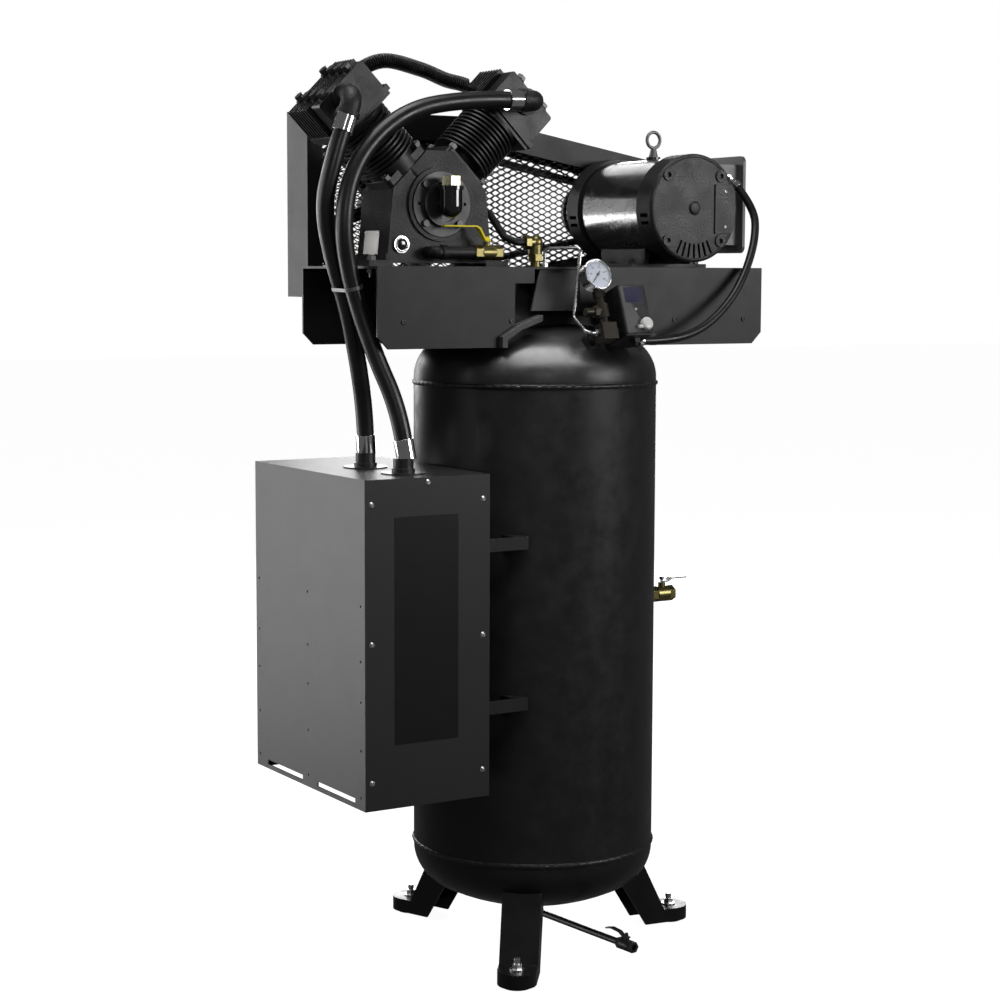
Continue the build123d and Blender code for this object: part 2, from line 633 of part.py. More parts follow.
ic_start = bank_point("left", 75, IC_Y, IC_AXIAL["left"])
ic_end = bank_point("right", -75, IC_Y, IC_AXIAL["right"])
ic_path = Spline(ic_start, (-338, IC_Y, 1842), (-254, IC_Y, 1830), (-196, IC_Y, 1812), ic_end,
                 tangents=[(1, 0, 1), (1, 0, -1)])
intercooler = sweep(Plane(origin=ic_path @ 0, z_dir=ic_path % 0) * Circle(IC_CORE_R), path=ic_path)
for i in range(IC_RINGS):
    t = 0.06 + 0.88 * i / (IC_RINGS - 1)
    spot = Plane(origin=ic_path @ t, z_dir=ic_path % t)
    intercooler += extrude(spot * Circle(IC_FIN_R), 2.0)
save("intercooler_tube", intercooler)

DISCHARGE_R = 7.5
back_y = BANK_Y["right"] + HEAD_HALF_Y
tube_points = [(-76, back_y, 1766), (-76, back_y + 26, 1766), (-105, back_y + 26, 1655), (-118, 96, 1592),
               (-118, -15, 1537), (-102, -42, 1494), (-84, -60, 1483), (-66, -60, 1483)]
discharge = rod(tube_points, [12, 20, 25, 25, 14, 10], DISCHARGE_R)
discharge += hexagon(22, 12, (-76, back_y, 1766), Y_AXIS)
save("discharge_tube", discharge)

elbow = hexagon(26, 12, (-66, CHECK_Y, 1483), X_AXIS) + cyl(13, 22, (-56, CHECK_Y, 1483), X_AXIS)
elbow += Solid.make_sphere(15, Plane((CHECK_X, CHECK_Y, 1483)))
elbow += cyl(14, 24, (CHECK_X, CHECK_Y, 1459)) + hexagon(28, 14, (CHECK_X, CHECK_Y, 1445))
elbow += cyl(10.5, 160, (CHECK_X, CHECK_Y, 1300)) + hexagon(36, 34, (CHECK_X, CHECK_Y, 1340))
save("discharge_elbow", elbow)

CUP_Y = -92.0
cup = Solid.make_sphere(CUP_R, Plane((PUMP_X, CUP_Y, PUMP_Z - 6)))
cup += cyl(CUP_R, 40, (PUMP_X, CUP_Y, PUMP_Z - 6))
cup += cyl(CUP_R + 2.5, 8, (PUMP_X, CUP_Y, PUMP_Z + 27))
cup += cyl(12.9, CASE_Y0 - COVER_T - CUP_Y, (PUMP_X, CUP_Y, PUMP_Z), Y_AXIS)
cup -= cyl(14, 22, (PUMP_X, CUP_Y, PUMP_Z + 13))
save("oil_fill_cup", cup)
plug = cyl(13.9, 20, (PUMP_X, CUP_Y, PUMP_Z + 15)) + hexagon(36, 19, (PUMP_X, CUP_Y, PUMP_Z + 35))
save("oil_fill_plug", plug)

glass_at = (GLASS[0], CASE_Y0 - 5, GLASS[1])
sight = ring(17, 10, 5, glass_at, Y_AXIS) + cyl(10.9, 8, (GLASS[0], CASE_Y0 - 2, GLASS[1]), Y_AXIS)
save("sight_glass", sight)

OIL_Y = -78.0
oil_pipe = rod([(OIL_X, CASE_Y0 + 8, OIL_Z), (OIL_X, OIL_Y, OIL_Z), (-196, OIL_Y, OIL_Z)], [10], 11.9)
oil_pipe += cyl(14.5, 14, (OIL_X + 14, OIL_Y, OIL_Z), X_AXIS)
save("oil_drain_pipe", oil_pipe)

OIL_STEM_X = -165.0


def ball_valve_body(start, axis, length, radius, hex_across, bore):
    body = hexagon(hex_across, length * 0.3, start, axis)
    body += cyl(radius, length * 0.5, along(start, axis, length * 0.26), axis)
    body += hexagon(hex_across, length * 0.28, along(start, axis, length * 0.72), axis)
    body -= cyl(bore, length * 0.2, along(start, axis, length * 0.8), axis)
    return body


valve = ball_valve_body((-196, OIL_Y, OIL_Z), X_AXIS, 62, 15, 27, 8.5)
valve += cyl(7, 22, (OIL_STEM_X, OIL_Y, OIL_Z))
valve -= cyl(4.0, 14, (OIL_STEM_X, OIL_Y, OIL_Z + 10))
OUT_X = 332.0
outlet = ball_valve_body((300, 0, OUTLET_Z), X_AXIS, 60, 17, 30, 9.5)
outlet += cyl(10.4, 64, (TANK_R - 15, 0, OUTLET_Z), X_AXIS)
outlet += cyl(8, 25, (OUT_X, 0, OUTLET_Z))
outlet -= cyl(4.0, 18, (OUT_X, 0, OUTLET_Z + 9))
save("ball_valves", [valve, outlet])

stem = cyl(3.6, 18, (OIL_STEM_X, OIL_Y, OIL_Z + 10.6))
lever_line = [(-159, 1484), (-171, 1484), (-184, 1507), (-192, 1512), (-266, 1512), (-266, 1515),
              (-191, 1515), (-182, 1511), (-169, 1488), (-159, 1488)]
oil_lever = xz_slab(lever_line, OIL_Y - 6, OIL_Y + 6)
stem += hexagon(10, 5, (OIL_STEM_X, OIL_Y, OIL_Z + 27))
save("oil_drain_lever", oil_lever + stem)

stem = cyl(3.6, 28, (OUT_X, 0, OUTLET_Z + 10)) + hexagon(10, 6, (OUT_X, 0, OUTLET_Z + 32))
lever_line = [(OUT_X - 8, 747), (OUT_X + 12, 747), (OUT_X + 24, 753), (394, 753), (394, 756.5),
              (OUT_X + 23, 756.5), (OUT_X + 11, 750.5), (OUT_X - 8, 750.5)]
out_lever = xz_slab(lever_line, -7, 7)
save("outlet_lever", out_lever + stem)

# ---------------------------------------------------------------- tank drain
DRAIN_Z = 60.0
drain_dir = Vector(30, -290, 0).normalized()
drain_axis = (drain_dir.X, drain_dir.Y, 0)
drain_end = along((0, 0, DRAIN_Z), drain_axis, 288)
drain_pipe = rod([(0, 0, BOTTOM_Z + 6), (0, 0, DRAIN_Z), drain_end], [12], DRAIN_PIPE_R - 0.1)
drain_pipe += cyl(11, 14, along((0, 0, DRAIN_Z), drain_axis, 14), drain_axis)
save("drain_pipe", drain_pipe)
drain_valve = ball_valve_body(drain_end, drain_axis, 48, 12, 21, 6.5)
stem_at = along(drain_end, drain_axis, 24)
drain_valve += cyl(6, 15, stem_at)
drain_valve -= cyl(3.6, 12, (stem_at[0], stem_at[1], DRAIN_Z + 8))
save("drain_valve", drain_valve)
stem = cyl(3.2, 16, (stem_at[0], stem_at[1], DRAIN_Z + 9))
side_dir = Vector(drain_dir.Y, -drain_dir.X, 0)
arm_plane = Plane(origin=(stem_at[0] - side_dir.X * -5, stem_at[1] - side_dir.Y * -5, 0),
                  x_dir=-drain_dir, z_dir=-side_dir)
lift = arm_plane.y_dir.Z
arm_line = [(-7, 78), (8, 78), (20, 85), (45, 87), (62, 83),
            (62, 80), (45, 84), (21, 82), (9, 75.5), (-7, 75.5)]
drain_arm = slab([(x, z * lift) for x, z in arm_line], arm_plane, 10)
stem += hexagon(8, 4, (stem_at[0], stem_at[1], 77.5))
save("drain_lever", drain_arm + stem)

# ---------------------------------------------------------------- intake elbows, ferrules, hoses
FERRULE_R = 21.0
FERRULE_L = 32.0
ELBOW_REACH = 43.0
ELBOW_CORNER_Y = {"left": -96.0, "right": -74.0}
ELBOW_WAY = {
    "left": tuple(Vector(-0.33, 0, -0.944).normalized()),
    "right": tuple(Vector(-0.998, -0.06, -0.03).normalized()),
}
elbows = []
elbow_tip = {}
hose_start = {}
for side in ("left", "right"):
    x, z = ELBOW[side]
    corner = (x, ELBOW_CORNER_Y[side], z)
    way = ELBOW_WAY[side]
    tip = along(corner, way, ELBOW_REACH)
    neck = rod([(x, ELBOW_Y[side] + 12, z), corner, tip], [22], ELBOW_R - 1.5)
    neck -= ring(40, 14.9, 40, (x, ELBOW_Y[side], z), Y_AXIS)
    neck += cyl(27, 7, (x, ELBOW_Y[side] - 7, z), Y_AXIS)
    neck += cyl(ELBOW_R + 1.5, 9, along(tip, way, -9), way)
    elbows.append(neck)
    elbow_tip[side] = tip
    hose_start[side] = along(tip, way, FERRULE_L)
save("intake_elbows", elbows)

HOSE_RUN = {"left": 62.0, "right": 98.0}
hose_turn = {side: along(hose_start[side], ELBOW_WAY[side], HOSE_RUN[side]) for side in HOSE_RUN}
hose_right = [
    hose_start["right"], hose_turn["right"], (-365, -97, 1735), (-478, -109, 1640), (-515, -121, 1520),
    (-489, -108, 1400), (-449, -128, 1265), (-411, -155, 1160), (-403, -162, 1098),
]
hose_left = [
    hose_start["left"], hose_turn["left"], (-535, -83, 1545), (-508, -71, 1445), (-473, -64, 1355),
    (-438, -38, 1250), (-411, -14, 1156), (-406, -10, 1098),
]
right_hose = cord("intake_hose_right", hose_right, HOSE_R)
left_hose = cord("intake_hose_left", hose_left, HOSE_R)
save("intake_hose_right", right_hose)
save("intake_hose_left", left_hose)

COUPLING_H = 30.0
ferrules = []
ports = []
for (x, y), hose in zip(PORTS, (hose_right, hose_left)):
    port = cyl(44, 2.5, (x, y, CAB_Z1)) + cyl(20, COUPLING_H, (x, y, CAB_Z1))
    ports.append(port + cyl(23, 8, (x, y, CAB_Z1 + 2.5)))
    way = tuple((Vector(*hose[-2]) - Vector(*hose[-1])).normalized())
    low = cyl(FERRULE_R - 1.5, 60, along(hose[-1], way, -60), way)
    ferrules.append(low - box(x - 60, x + 60, y - 60, y + 60, 900, CAB_Z1 + COUPLING_H))
for side in ("left", "right"):
    ferrules.append(cyl(FERRULE_R, FERRULE_L, elbow_tip[side], ELBOW_WAY[side]))
save("hose_ferrules", ferrules)
save("silencer_ports", ports)

# plastic tie round both hoses
TIE_Z = 1391.0
TIE_H = 7.0
slice_box = box(-700, -200, -300, 200, TIE_Z - 2, TIE_Z + 2)
spots = [(hose & slice_box).center() for hose in (right_hose, left_hose)]
middle = (spots[0] + spots[1]) * 0.5
tie_lean = Vector(0.24, 0.03, -0.97)
tie_place = Plane(origin=middle, x_dir=spots[1] - spots[0], z_dir=tie_lean)
half_gap = (spots[1] - spots[0]).length / 2


def loop(radius):
    return (cyl(radius, TIE_H, (-half_gap, 0, -TIE_H / 2)) + cyl(radius, TIE_H, (half_gap, 0, -TIE_H / 2))
            + box(-half_gap, half_gap, -radius, radius, -TIE_H / 2, TIE_H / 2))


tie = loop(HOSE_R + 2.4) - loop(HOSE_R + 0.7)
tie += box(-5, 5, HOSE_R + 1, HOSE_R + 6, -TIE_H / 2, TIE_H / 2)
save("hose_tie", tie_place.location * tie)

# ---------------------------------------------------------------- silencer cabinet
CAB_LIP = 30.0
SLOT_LIP = 12.0
cabinet = box(CAB_X0, CAB_X1, CAB_Y0, CAB_Y1, CAB_Z0, CAB_Z1)
cabinet -= box(CAB_X0 + CAB_T, CAB_X1 - CAB_T, CAB_Y0 - 1, CAB_Y1 - CAB_T, CAB_Z0 + CAB_T, CAB_Z1 - CAB_T)
cabinet -= box(CAB_X0 + SLOT_LIP, CAB_X1 - CAB_LIP, CAB_Y0 + CAB_LIP, CAB_Y1 - CAB_LIP,
               CAB_Z0 - 1, CAB_Z0 + 10)
for y0, y1 in ((-210, -48), (18, 180)):
    cabinet -= box(CAB_X0 - 1, CAB_X0 + CAB_T + 1, y0, y1, 404, 414)
for y in (-235, -8, 217):
    for z in (790, 684, 605, 511, 420):
        cabinet -= cyl(2.6, 10, (CAB_X0 - 2, y, z), X_AXIS)
for x0, x1, z0, z1 in ((CAB_X0 + CAB_T, CAB_X0 + 22, CAB_Z0 + CAB_T, CAB_Z1 - CAB_T),
                       (CAB_X1 - 22, CAB_X1 - CAB_T, CAB_Z0 + CAB_T, CAB_Z1 - CAB_T),
                       (CAB_X0 + CAB_T, CAB_X1 - CAB_T, CAB_Z1 - 22, CAB_Z1 - CAB_T)):
    cabinet += box(x0, x1, CAB_Y0, CAB_Y0 + CAB_T, z0, z1)
for x, y in PORTS:
    cabinet -= cyl(16, 20, (x, y, CAB_Z1 - 10))
SCREWS = [(-521, 984), (-521, 717), (-521, 449), (-276, 984), (-276, 717), (-276, 449), (-399, 1022)]
panel = box(CAB_X0, CAB_X1, CAB_Y0 - 3, CAB_Y0, CAB_Z0, CAB_Z1)
screws = []
for x, z in SCREWS:
    hole = cyl(3, 14, (x, CAB_Y0 - 5, z), Y_AXIS)
    panel -= hole
    cabinet -= hole
    screw = cyl(2.9, 12, (x, CAB_Y0 - 3, z), Y_AXIS)
    screw += cone(3.5, 6.5, 3.5, (x, CAB_Y0 - 6.5, z), Y_AXIS)
    screws.append(screw)
save("silencer_cabinet", cabinet)
save("silencer_cover", panel)
save("silencer_screws", screws)
filters = []
for x, y in PORTS:
    body = ring(56, 30, 200, (x, y, CAB_Z1 - CAB_T - 206))
    body += ring(58, 15.8, 6, (x, y, CAB_Z1 - CAB_T - 6))
    body += cyl(58, 6, (x, y, CAB_Z1 - CAB_T - 212))
    filters.append(body)
save("filter_elements", filters)

ARM_X1 = -153.0
arms = []
for z0 in (874, 549):
    for y0, y1 in ((-223, -217), (212, 218)):
        arm = box(CAB_X1, ARM_X1, y0, y1, z0, z0 + 26)
        inner0, inner1 = (y1, -150) if y0 < 0 else (150, y0)
        arm += box(-186, ARM_X1, inner0, inner1, z0, z0 + 26)
        arm += box(CAB_X1, CAB_X1 + 5, y0 if y0 < 0 else y0 - 40, y1 + 40 if y0 < 0 else y1, z0, z0 + 26)
        arms.append(arm - tank_outer)
save("silencer_arms", arms)

# ---------------------------------------------------------------- motor
at = (MOTOR_X, SHELL_Y0, MOTOR_Z)
shell = ring(SHELL_R, STATOR_R, SHELL_Y1 - SHELL_Y0, at, Y_AXIS)
EYE_Y = -22.0
boss = cyl(15, 10, (MOTOR_X, EYE_Y, MOTOR_Z + SHELL_R - 4))
shell += boss - cyl(STATOR_R + 1, 60, (MOTOR_X, EYE_Y - 30, MOTOR_Z), Y_AXIS)
shell -= cyl(6, 40, (MOTOR_X, EYE_Y, MOTOR_Z + SHELL_R - 20))
save("motor_shell", shell)

bells = []
for outer_y, inner_y, sign in ((BELL_FRONT, SHELL_Y0, 1), (BELL_BACK, SHELL_Y1, -1)):
    depth = abs(inner_y - outer_y)
    axis = (0, sign, 0)
    start = (MOTOR_X, outer_y, MOTOR_Z)
    bell = cone(BELL_R - 3, BELL_R, 3, start, axis) + cyl(BELL_R, depth - 3, along(start, axis, 3), axis)
    bell -= cyl(STATOR_R, depth - 6, along(start, axis, 6), axis)
    bell += cyl(36, 30, start, axis)
    bell -= cyl(26, 40, along(start, axis, 10), axis)
    bell -= cyl(MOTOR_SHAFT_R + 0.6, 30, start, axis)
    for degrees in (45, 135, 225, 315):
        bx = MOTOR_X + 95 * math.cos(math.radians(degrees))
        bz = MOTOR_Z + 95 * math.sin(math.radians(degrees))
        bell += cyl(13, 9, along((bx, outer_y, bz), axis, -3), axis)
        bell -= cyl(5, 5, along((bx, outer_y, bz), axis, -3), axis)
    for i in range(7):
        turn = -90 + (i - 3) * 8.5
        slot = box(74, 104, -2.5, 2.5, 0, 10)
        base = Plane(origin=(MOTOR_X, outer_y - sign, MOTOR_Z), x_dir=X_AXIS, z_dir=axis)
        spin = Rot(0, 0, turn if sign < 0 else -turn)
        bell -= base.location * (spin * slot)
    for dz in (-16, -32):
        for sx in (-1, 1):
            x0 = MOTOR_X + (-BELL_R - 4 if sx < 0 else BELL_R - 22)
            y0 = outer_y + 12 if sign > 0 else outer_y - 38
            bell -= box(x0, x0 + 26, y0, y0 + 26, MOTOR_Z + dz - 3.5, MOTOR_Z + dz + 3.5)
    if sign > 0:
        plate = box(MOTOR_X + 52, MOTOR_X + 104, outer_y - 3, outer_y, MOTOR_Z - 52, MOTOR_Z + 50)
        keep = cyl(BELL_R - 4, 3, (MOTOR_X, outer_y - 3, MOTOR_Z), Y_AXIS)
        bell += plate & keep
        bell += cyl(10, 2, (MOTOR_X, outer_y - 2, MOTOR_Z), Y_AXIS)
        bell += cyl(14, 6, start, axis)
    bells.append(bell)
save("motor_end_bells", bells)

base = box(MOTOR_X - 97, MOTOR_X + 97, -84, 80, DECK_TOP, DECK_TOP + 8)
for sx in (-1, 1):
    base += box(MOTOR_X + sx * 58 - 5, MOTOR_X + sx * 58 + 5, -84, 80, DECK_TOP + 8, MOTOR_Z - 60)
base -= cyl(SHELL_R, 300, (MOTOR_X, -150, MOTOR_Z), Y_AXIS)
base -= box(MOTOR_X - 50, MOTOR_X + 50, -60, 56, DECK_TOP - 1, DECK_TOP + 9)
for x, y in MOTOR_SPOTS:
    base -= cyl(5.5, 20, (x, y, DECK_TOP - 2))
save("motor_base", base)

stator = ring(STATOR_R, STATOR_BORE, 110, (MOTOR_X, -62, MOTOR_Z), Y_AXIS)
for y0 in (-92, 48):
    stator += ring(90, 68, 30, (MOTOR_X, y0, MOTOR_Z), Y_AXIS)
save("motor_stator", stator)

rotor = cyl(motor_shaft, DRIVE_Y1 + 4 - (BELL_FRONT + 8), (MOTOR_X, BELL_FRONT + 8, MOTOR_Z), Y_AXIS)
rotor += cyl(STATOR_BORE - AIR_GAP, 110, (MOTOR_X, -62, MOTOR_Z), Y_AXIS)
rotor += cyl(50, 4, (MOTOR_X, 84, MOTOR_Z), Y_AXIS)
rotor_place = Plane(origin=(MOTOR_X, 0, MOTOR_Z), x_dir=X_AXIS, z_dir=Y_AXIS).location
for i in range(8):
    rotor += rotor_place * (Rot(0, 0, i * 45) * box(18, 76, -1.5, 1.5, 84, 104))
save("motor_rotor", rotor)

eye_z = MOTOR_Z + SHELL_R + 6
EYE_RING = 16.6
eye = Solid.make_torus(EYE_RING, 3.6, Plane(origin=(MOTOR_X, EYE_Y, eye_z + 36), z_dir=Y_AXIS))
eye += cone(10, 6, 18, (MOTOR_X, EYE_Y, eye_z)) + cyl(5.9, 9, (MOTOR_X, EYE_Y, eye_z - 9))
save("lifting_eye", eye)

BOX_Z0 = 1482.0
BOX_Z1 = 1655.0
LID_X = 474.0
conduit_box = box(380, LID_X, -70, 45, BOX_Z0, BOX_Z1) - cyl(SHELL_R, 300, (MOTOR_X, -150, MOTOR_Z), Y_AXIS)
conduit_box -= box(395, LID_X, -66, 41, BOX_Z0 + 4, BOX_Z1 - 4)
saddle = ring(SHELL_R + 4, SHELL_R, 115, (MOTOR_X, -70, MOTOR_Z), Y_AXIS)
conduit_box += box(380, LID_X, -70, 45, BOX_Z0, BOX_Z1) & saddle
lid = box(LID_X, LID_X + 7, -86, 60, 1465, 1673)
lid = lid.fillet(14, lid.edges().filter_by(Axis.X))
GLAND = (443.0, -70.0, 1622.0)
conduit_box -= cyl(7, 20, (GLAND[0], GLAND[1] - 5, GLAND[2]), Y_AXIS)
conduit_box += lid
save("conduit_box", conduit_box)

# ---------------------------------------------------------------- pressure switch group
SW = (27.0, -300.0, 1300.0)
SW_W = 66.0
SW_D = 84.0
SW_H = 106.0
switch_place = Plane(origin=SW, x_dir=X_AXIS, z_dir=TILT_UP)


def on_switch(x, y, z):
    point = Vector(*SW) + Vector(1, 0, 0) * x + Vector(*TILT_BACK) * y + Vector(*TILT_UP) * z
    return (point.X, point.Y, point.Z)


case_box = box(0, SW_W, 4, SW_D, 0, SW_H)
case_box = case_box.fillet(4, case_box.edges().filter_by(Axis.Y))
lid_box = box(2.5, SW_W - 2.5, 0, 4, 2.5, SW_H - 2.5)
case_box += lid_box
case_box -= cyl(3.6, 14, (49, -1, 21), Y_AXIS)
switch = switch_place.location * case_box
switch += switch_place.location * (hexagon(20, 8, (40, 34, -8)) + cyl(6, 6, (40, 34, -14)))
save("switch_case", switch)
knob = cyl(3.2, 13, (49, -2, 21), Y_AXIS) + cyl(12.5, 8, (49, -9, 21), Y_AXIS)
knob += cyl(3.5, 12, (40, -5, 15), NEG_X)
save("switch_knob", switch_place.location * knob)

block = Plane(origin=MANIFOLD, x_dir=X_AXIS, z_dir=TILT_UP)
manifold = block.location * (box(-17, 17, -17, 17, -17, 17))
manifold += cyl(10.9, 62, MANIFOLD, TILT_BACK)
manifold += cyl(8, SW[0], MANIFOLD, X_AXIS)
GAUGE_R = 32.0
GAUGE_MID = (0.0, -225.0, 1415.0)
column_top = along(GAUGE_MID, TILT_UP, -GAUGE_R + 2)
reach = (Vector(*column_top) - Vector(*MANIFOLD))
tall = reach.dot(Vector(*TILT_UP))
manifold += cyl(9, tall, MANIFOLD, TILT_UP)
manifold += hexagon(22, 14, along(MANIFOLD, TILT_UP, tall - 16), TILT_UP)
relief_at = along(MANIFOLD, TILT_UP, 44)
manifold += cyl(14, 28, along(relief_at, TILT_UP, -14), TILT_UP)
manifold += hexagon(21, 12, relief_at, NEG_X) + hexagon(21, 10, along(relief_at, NEG_X, 11), NEG_X)
manifold += cyl(8, 24, along(relief_at, NEG_X, 16), NEG_X)
save("control_manifold", manifold)

gauge_back = along(GAUGE_MID, TILT_FRONT, -14)
gauge = cyl(GAUGE_R - 2, 22, gauge_back, TILT_FRONT)
gauge += cyl(GAUGE_R, 7, along(gauge_back, TILT_FRONT, 20), TILT_FRONT)
gauge -= cyl(GAUGE_R - 3, 6, along(gauge_back, TILT_FRONT, 23), TILT_FRONT)
gauge = gauge - manifold
DIAL = along(gauge_back, TILT_FRONT, 23)
gauge -= cyl(1.4, 4, along(DIAL, TILT_FRONT, -3.9), TILT_FRONT)
save("pressure_gauge", gauge)
needle_place = Plane(origin=along(DIAL, TILT_FRONT, 0.8), x_dir=X_AXIS, z_dir=TILT_FRONT)
needle = box(-9, 21, -0.9, 0.9, 0, 0.8) + cyl(3, 1.6, (0, 0, 0)) + cyl(1.0, 4, (0, 0, -4))
save("gauge_needle", needle_place.location * (Rot(0, 0, 228) * needle))

unload_line = [(-47, -110, DECK_TOP), (-47, -110, 1470), (-8, -184, 1472),
               (-38, -206, 1332), (-46, -266, 1303), (-17, -266, 1303)]
unload = rod(unload_line, [10, 11, 12, 12], 3.5)
unload += hexagon(12, 8, (-25, -266, 1303), X_AXIS) + hexagon(12, 8, (-47, -110, DECK_TOP))
save("unloader_tube", unload)

# ---------------------------------------------------------------- motor conduit
GLAND_WAY = tuple(Vector(0.345, -0.545, -0.764).normalized())
gland_corner = (GLAND[0], GLAND[1] - 16, GLAND[2])
conduit_start = along(gland_corner, GLAND_WAY, 22)
switch_gland = on_switch(SW_W, 60, 6)
conduit_end = along(switch_gland, X_AXIS, 12)
conduit_route = [
    conduit_start, along(conduit_start, GLAND_WAY, 59), (457, -155, 1500), (412, -183, 1428),
    (352, -207, 1362), (268, -228, 1307), along(conduit_end, X_AXIS, 74), conduit_end,
]
save("motor_conduit", cord("motor_conduit", conduit_route, CONDUIT_R))
elbow_gland = rod([(GLAND[0], GLAND[1] + 3.5, GLAND[2]), gland_corner, conduit_start], [8], 6.9)
elbow_gland += cyl(10.5, 6, (GLAND[0], GLAND[1] - 6, GLAND[2]), Y_AXIS)
elbow_gland += cyl(10.5, 12, along(conduit_start, GLAND_WAY, -12), GLAND_WAY)
side_gland = hexagon(22, 7, switch_gland, X_AXIS) + cyl(10, 12, switch_gland, X_AXIS)
save("conduit_glands", [elbow_gland, side_gland])

# ---------------------------------------------------------------- belt guard
guard_line = [(GUARD_X0, 1370), (-90, 1370), (GUARD_X1, 1440),
              (GUARD_X1, 1671), (-43, 1750), (GUARD_X0, 1750)]
inner_line = [(GUARD_X0 + 3, 1373), (-90, 1373), (GUARD_X1 - 3, 1443),
              (GUARD_X1 - 3, 1668.4), (-43, 1747), (GUARD_X0 + 3, 1747)]
mesh_line = [(GUARD_X0 + 28, 1398), (-92, 1398), (GUARD_X1 - 28, 1464),
             (GUARD_X1 - 28, 1630), (-38, 1703), (GUARD_X0 + 28, 1703)]
hole_line = [(GUARD_X0 + 34, 1404), (-93, 1404), (GUARD_X1 - 34, 1470),
             (GUARD_X1 - 34, 1624), (-38, 1697), (GUARD_X0 + 34, 1697)]
guard = xz_slab(guard_line, GUARD_Y0, GUARD_Y1) - xz_slab(inner_line, GUARD_Y0 + GUARD_T, GUARD_Y1 - GUARD_T)
guard -= xz_slab(hole_line, GUARD_Y0 - 5, GUARD_Y1 + 5)
guard += box(-430, -370, DECK_HALF_Y, GUARD_Y0, 1376, 1400)
guard += box(300, 360, DECK_HALF_Y, GUARD_Y0, 1440, 1462)
save("guard_frame", guard)
mesh_front = xz_slab(mesh_line, GUARD_Y0 + GUARD_T, GUARD_Y0 + GUARD_T + 2.5)
mesh_front -= cyl(44, 20, (PUMP_X, GUARD_Y0 - 5, PUMP_Z), Y_AXIS)
mesh_front -= cyl(44, 20, (MOTOR_X, GUARD_Y0 - 5, MOTOR_Z), Y_AXIS)
mesh_back = xz_slab(mesh_line, GUARD_Y1 - GUARD_T - 2.5, GUARD_Y1 - GUARD_T)
save("guard_mesh", [mesh_front, mesh_back])
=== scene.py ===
import math
import bpy
import bmesh
from mathutils import Matrix, Vector, noise


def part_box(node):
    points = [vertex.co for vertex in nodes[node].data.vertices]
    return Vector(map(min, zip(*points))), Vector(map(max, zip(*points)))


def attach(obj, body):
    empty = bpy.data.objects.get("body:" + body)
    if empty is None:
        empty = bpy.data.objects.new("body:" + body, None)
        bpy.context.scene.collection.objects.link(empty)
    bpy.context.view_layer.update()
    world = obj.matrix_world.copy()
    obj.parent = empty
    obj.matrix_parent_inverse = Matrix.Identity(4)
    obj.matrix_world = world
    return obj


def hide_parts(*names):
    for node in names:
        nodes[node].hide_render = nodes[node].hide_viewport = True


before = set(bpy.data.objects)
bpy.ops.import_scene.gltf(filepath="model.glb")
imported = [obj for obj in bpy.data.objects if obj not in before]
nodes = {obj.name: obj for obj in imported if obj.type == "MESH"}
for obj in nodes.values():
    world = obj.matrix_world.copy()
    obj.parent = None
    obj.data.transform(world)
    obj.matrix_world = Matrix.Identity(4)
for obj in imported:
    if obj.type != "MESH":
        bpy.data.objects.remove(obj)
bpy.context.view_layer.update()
scene = bpy.context.scene
MM = 0.001


# ------------------------------------------------------------------ helpers
def mm(x, y, z):
    return Vector((x, y, z)) * MM


def link(obj):
    scene.collection.objects.link(obj)
    return obj


def along(start, direction, distance):
    return tuple(s + d * distance for s, d in zip(start, direction))


def unit(x, y, z):
    size = math.sqrt(x * x + y * y + z * z)
    return (x / size, y / size, z / size)


# ------------------------------------------------------------------ camera
EYE = (-2.426, -3.850, 1.420)
LOOK = (0.517, 0.850, -0.104)
ROLL_DEG = 0.2
camera = bpy.data.cameras.new("camera")
camera.lens = 78.1
camera.sensor_width = 36.0
camera.clip_start = 0.1
camera.clip_end = 60.0
eye = link(bpy.data.objects.new("camera", camera))
look = Vector(LOOK).normalized()
right = look.cross(Vector((0, 0, 1))).normalized()
upward = right.cross(look)
roll = math.radians(ROLL_DEG)
right_rolled = right * math.cos(roll) + upward * math.sin(roll)
up_rolled = right_rolled.cross(look)
basis = Matrix((right_rolled, up_rolled, -look)).transposed().to_4x4()
eye.matrix_world = Matrix.Translation(Vector(EYE)) @ basis
scene.camera = eye


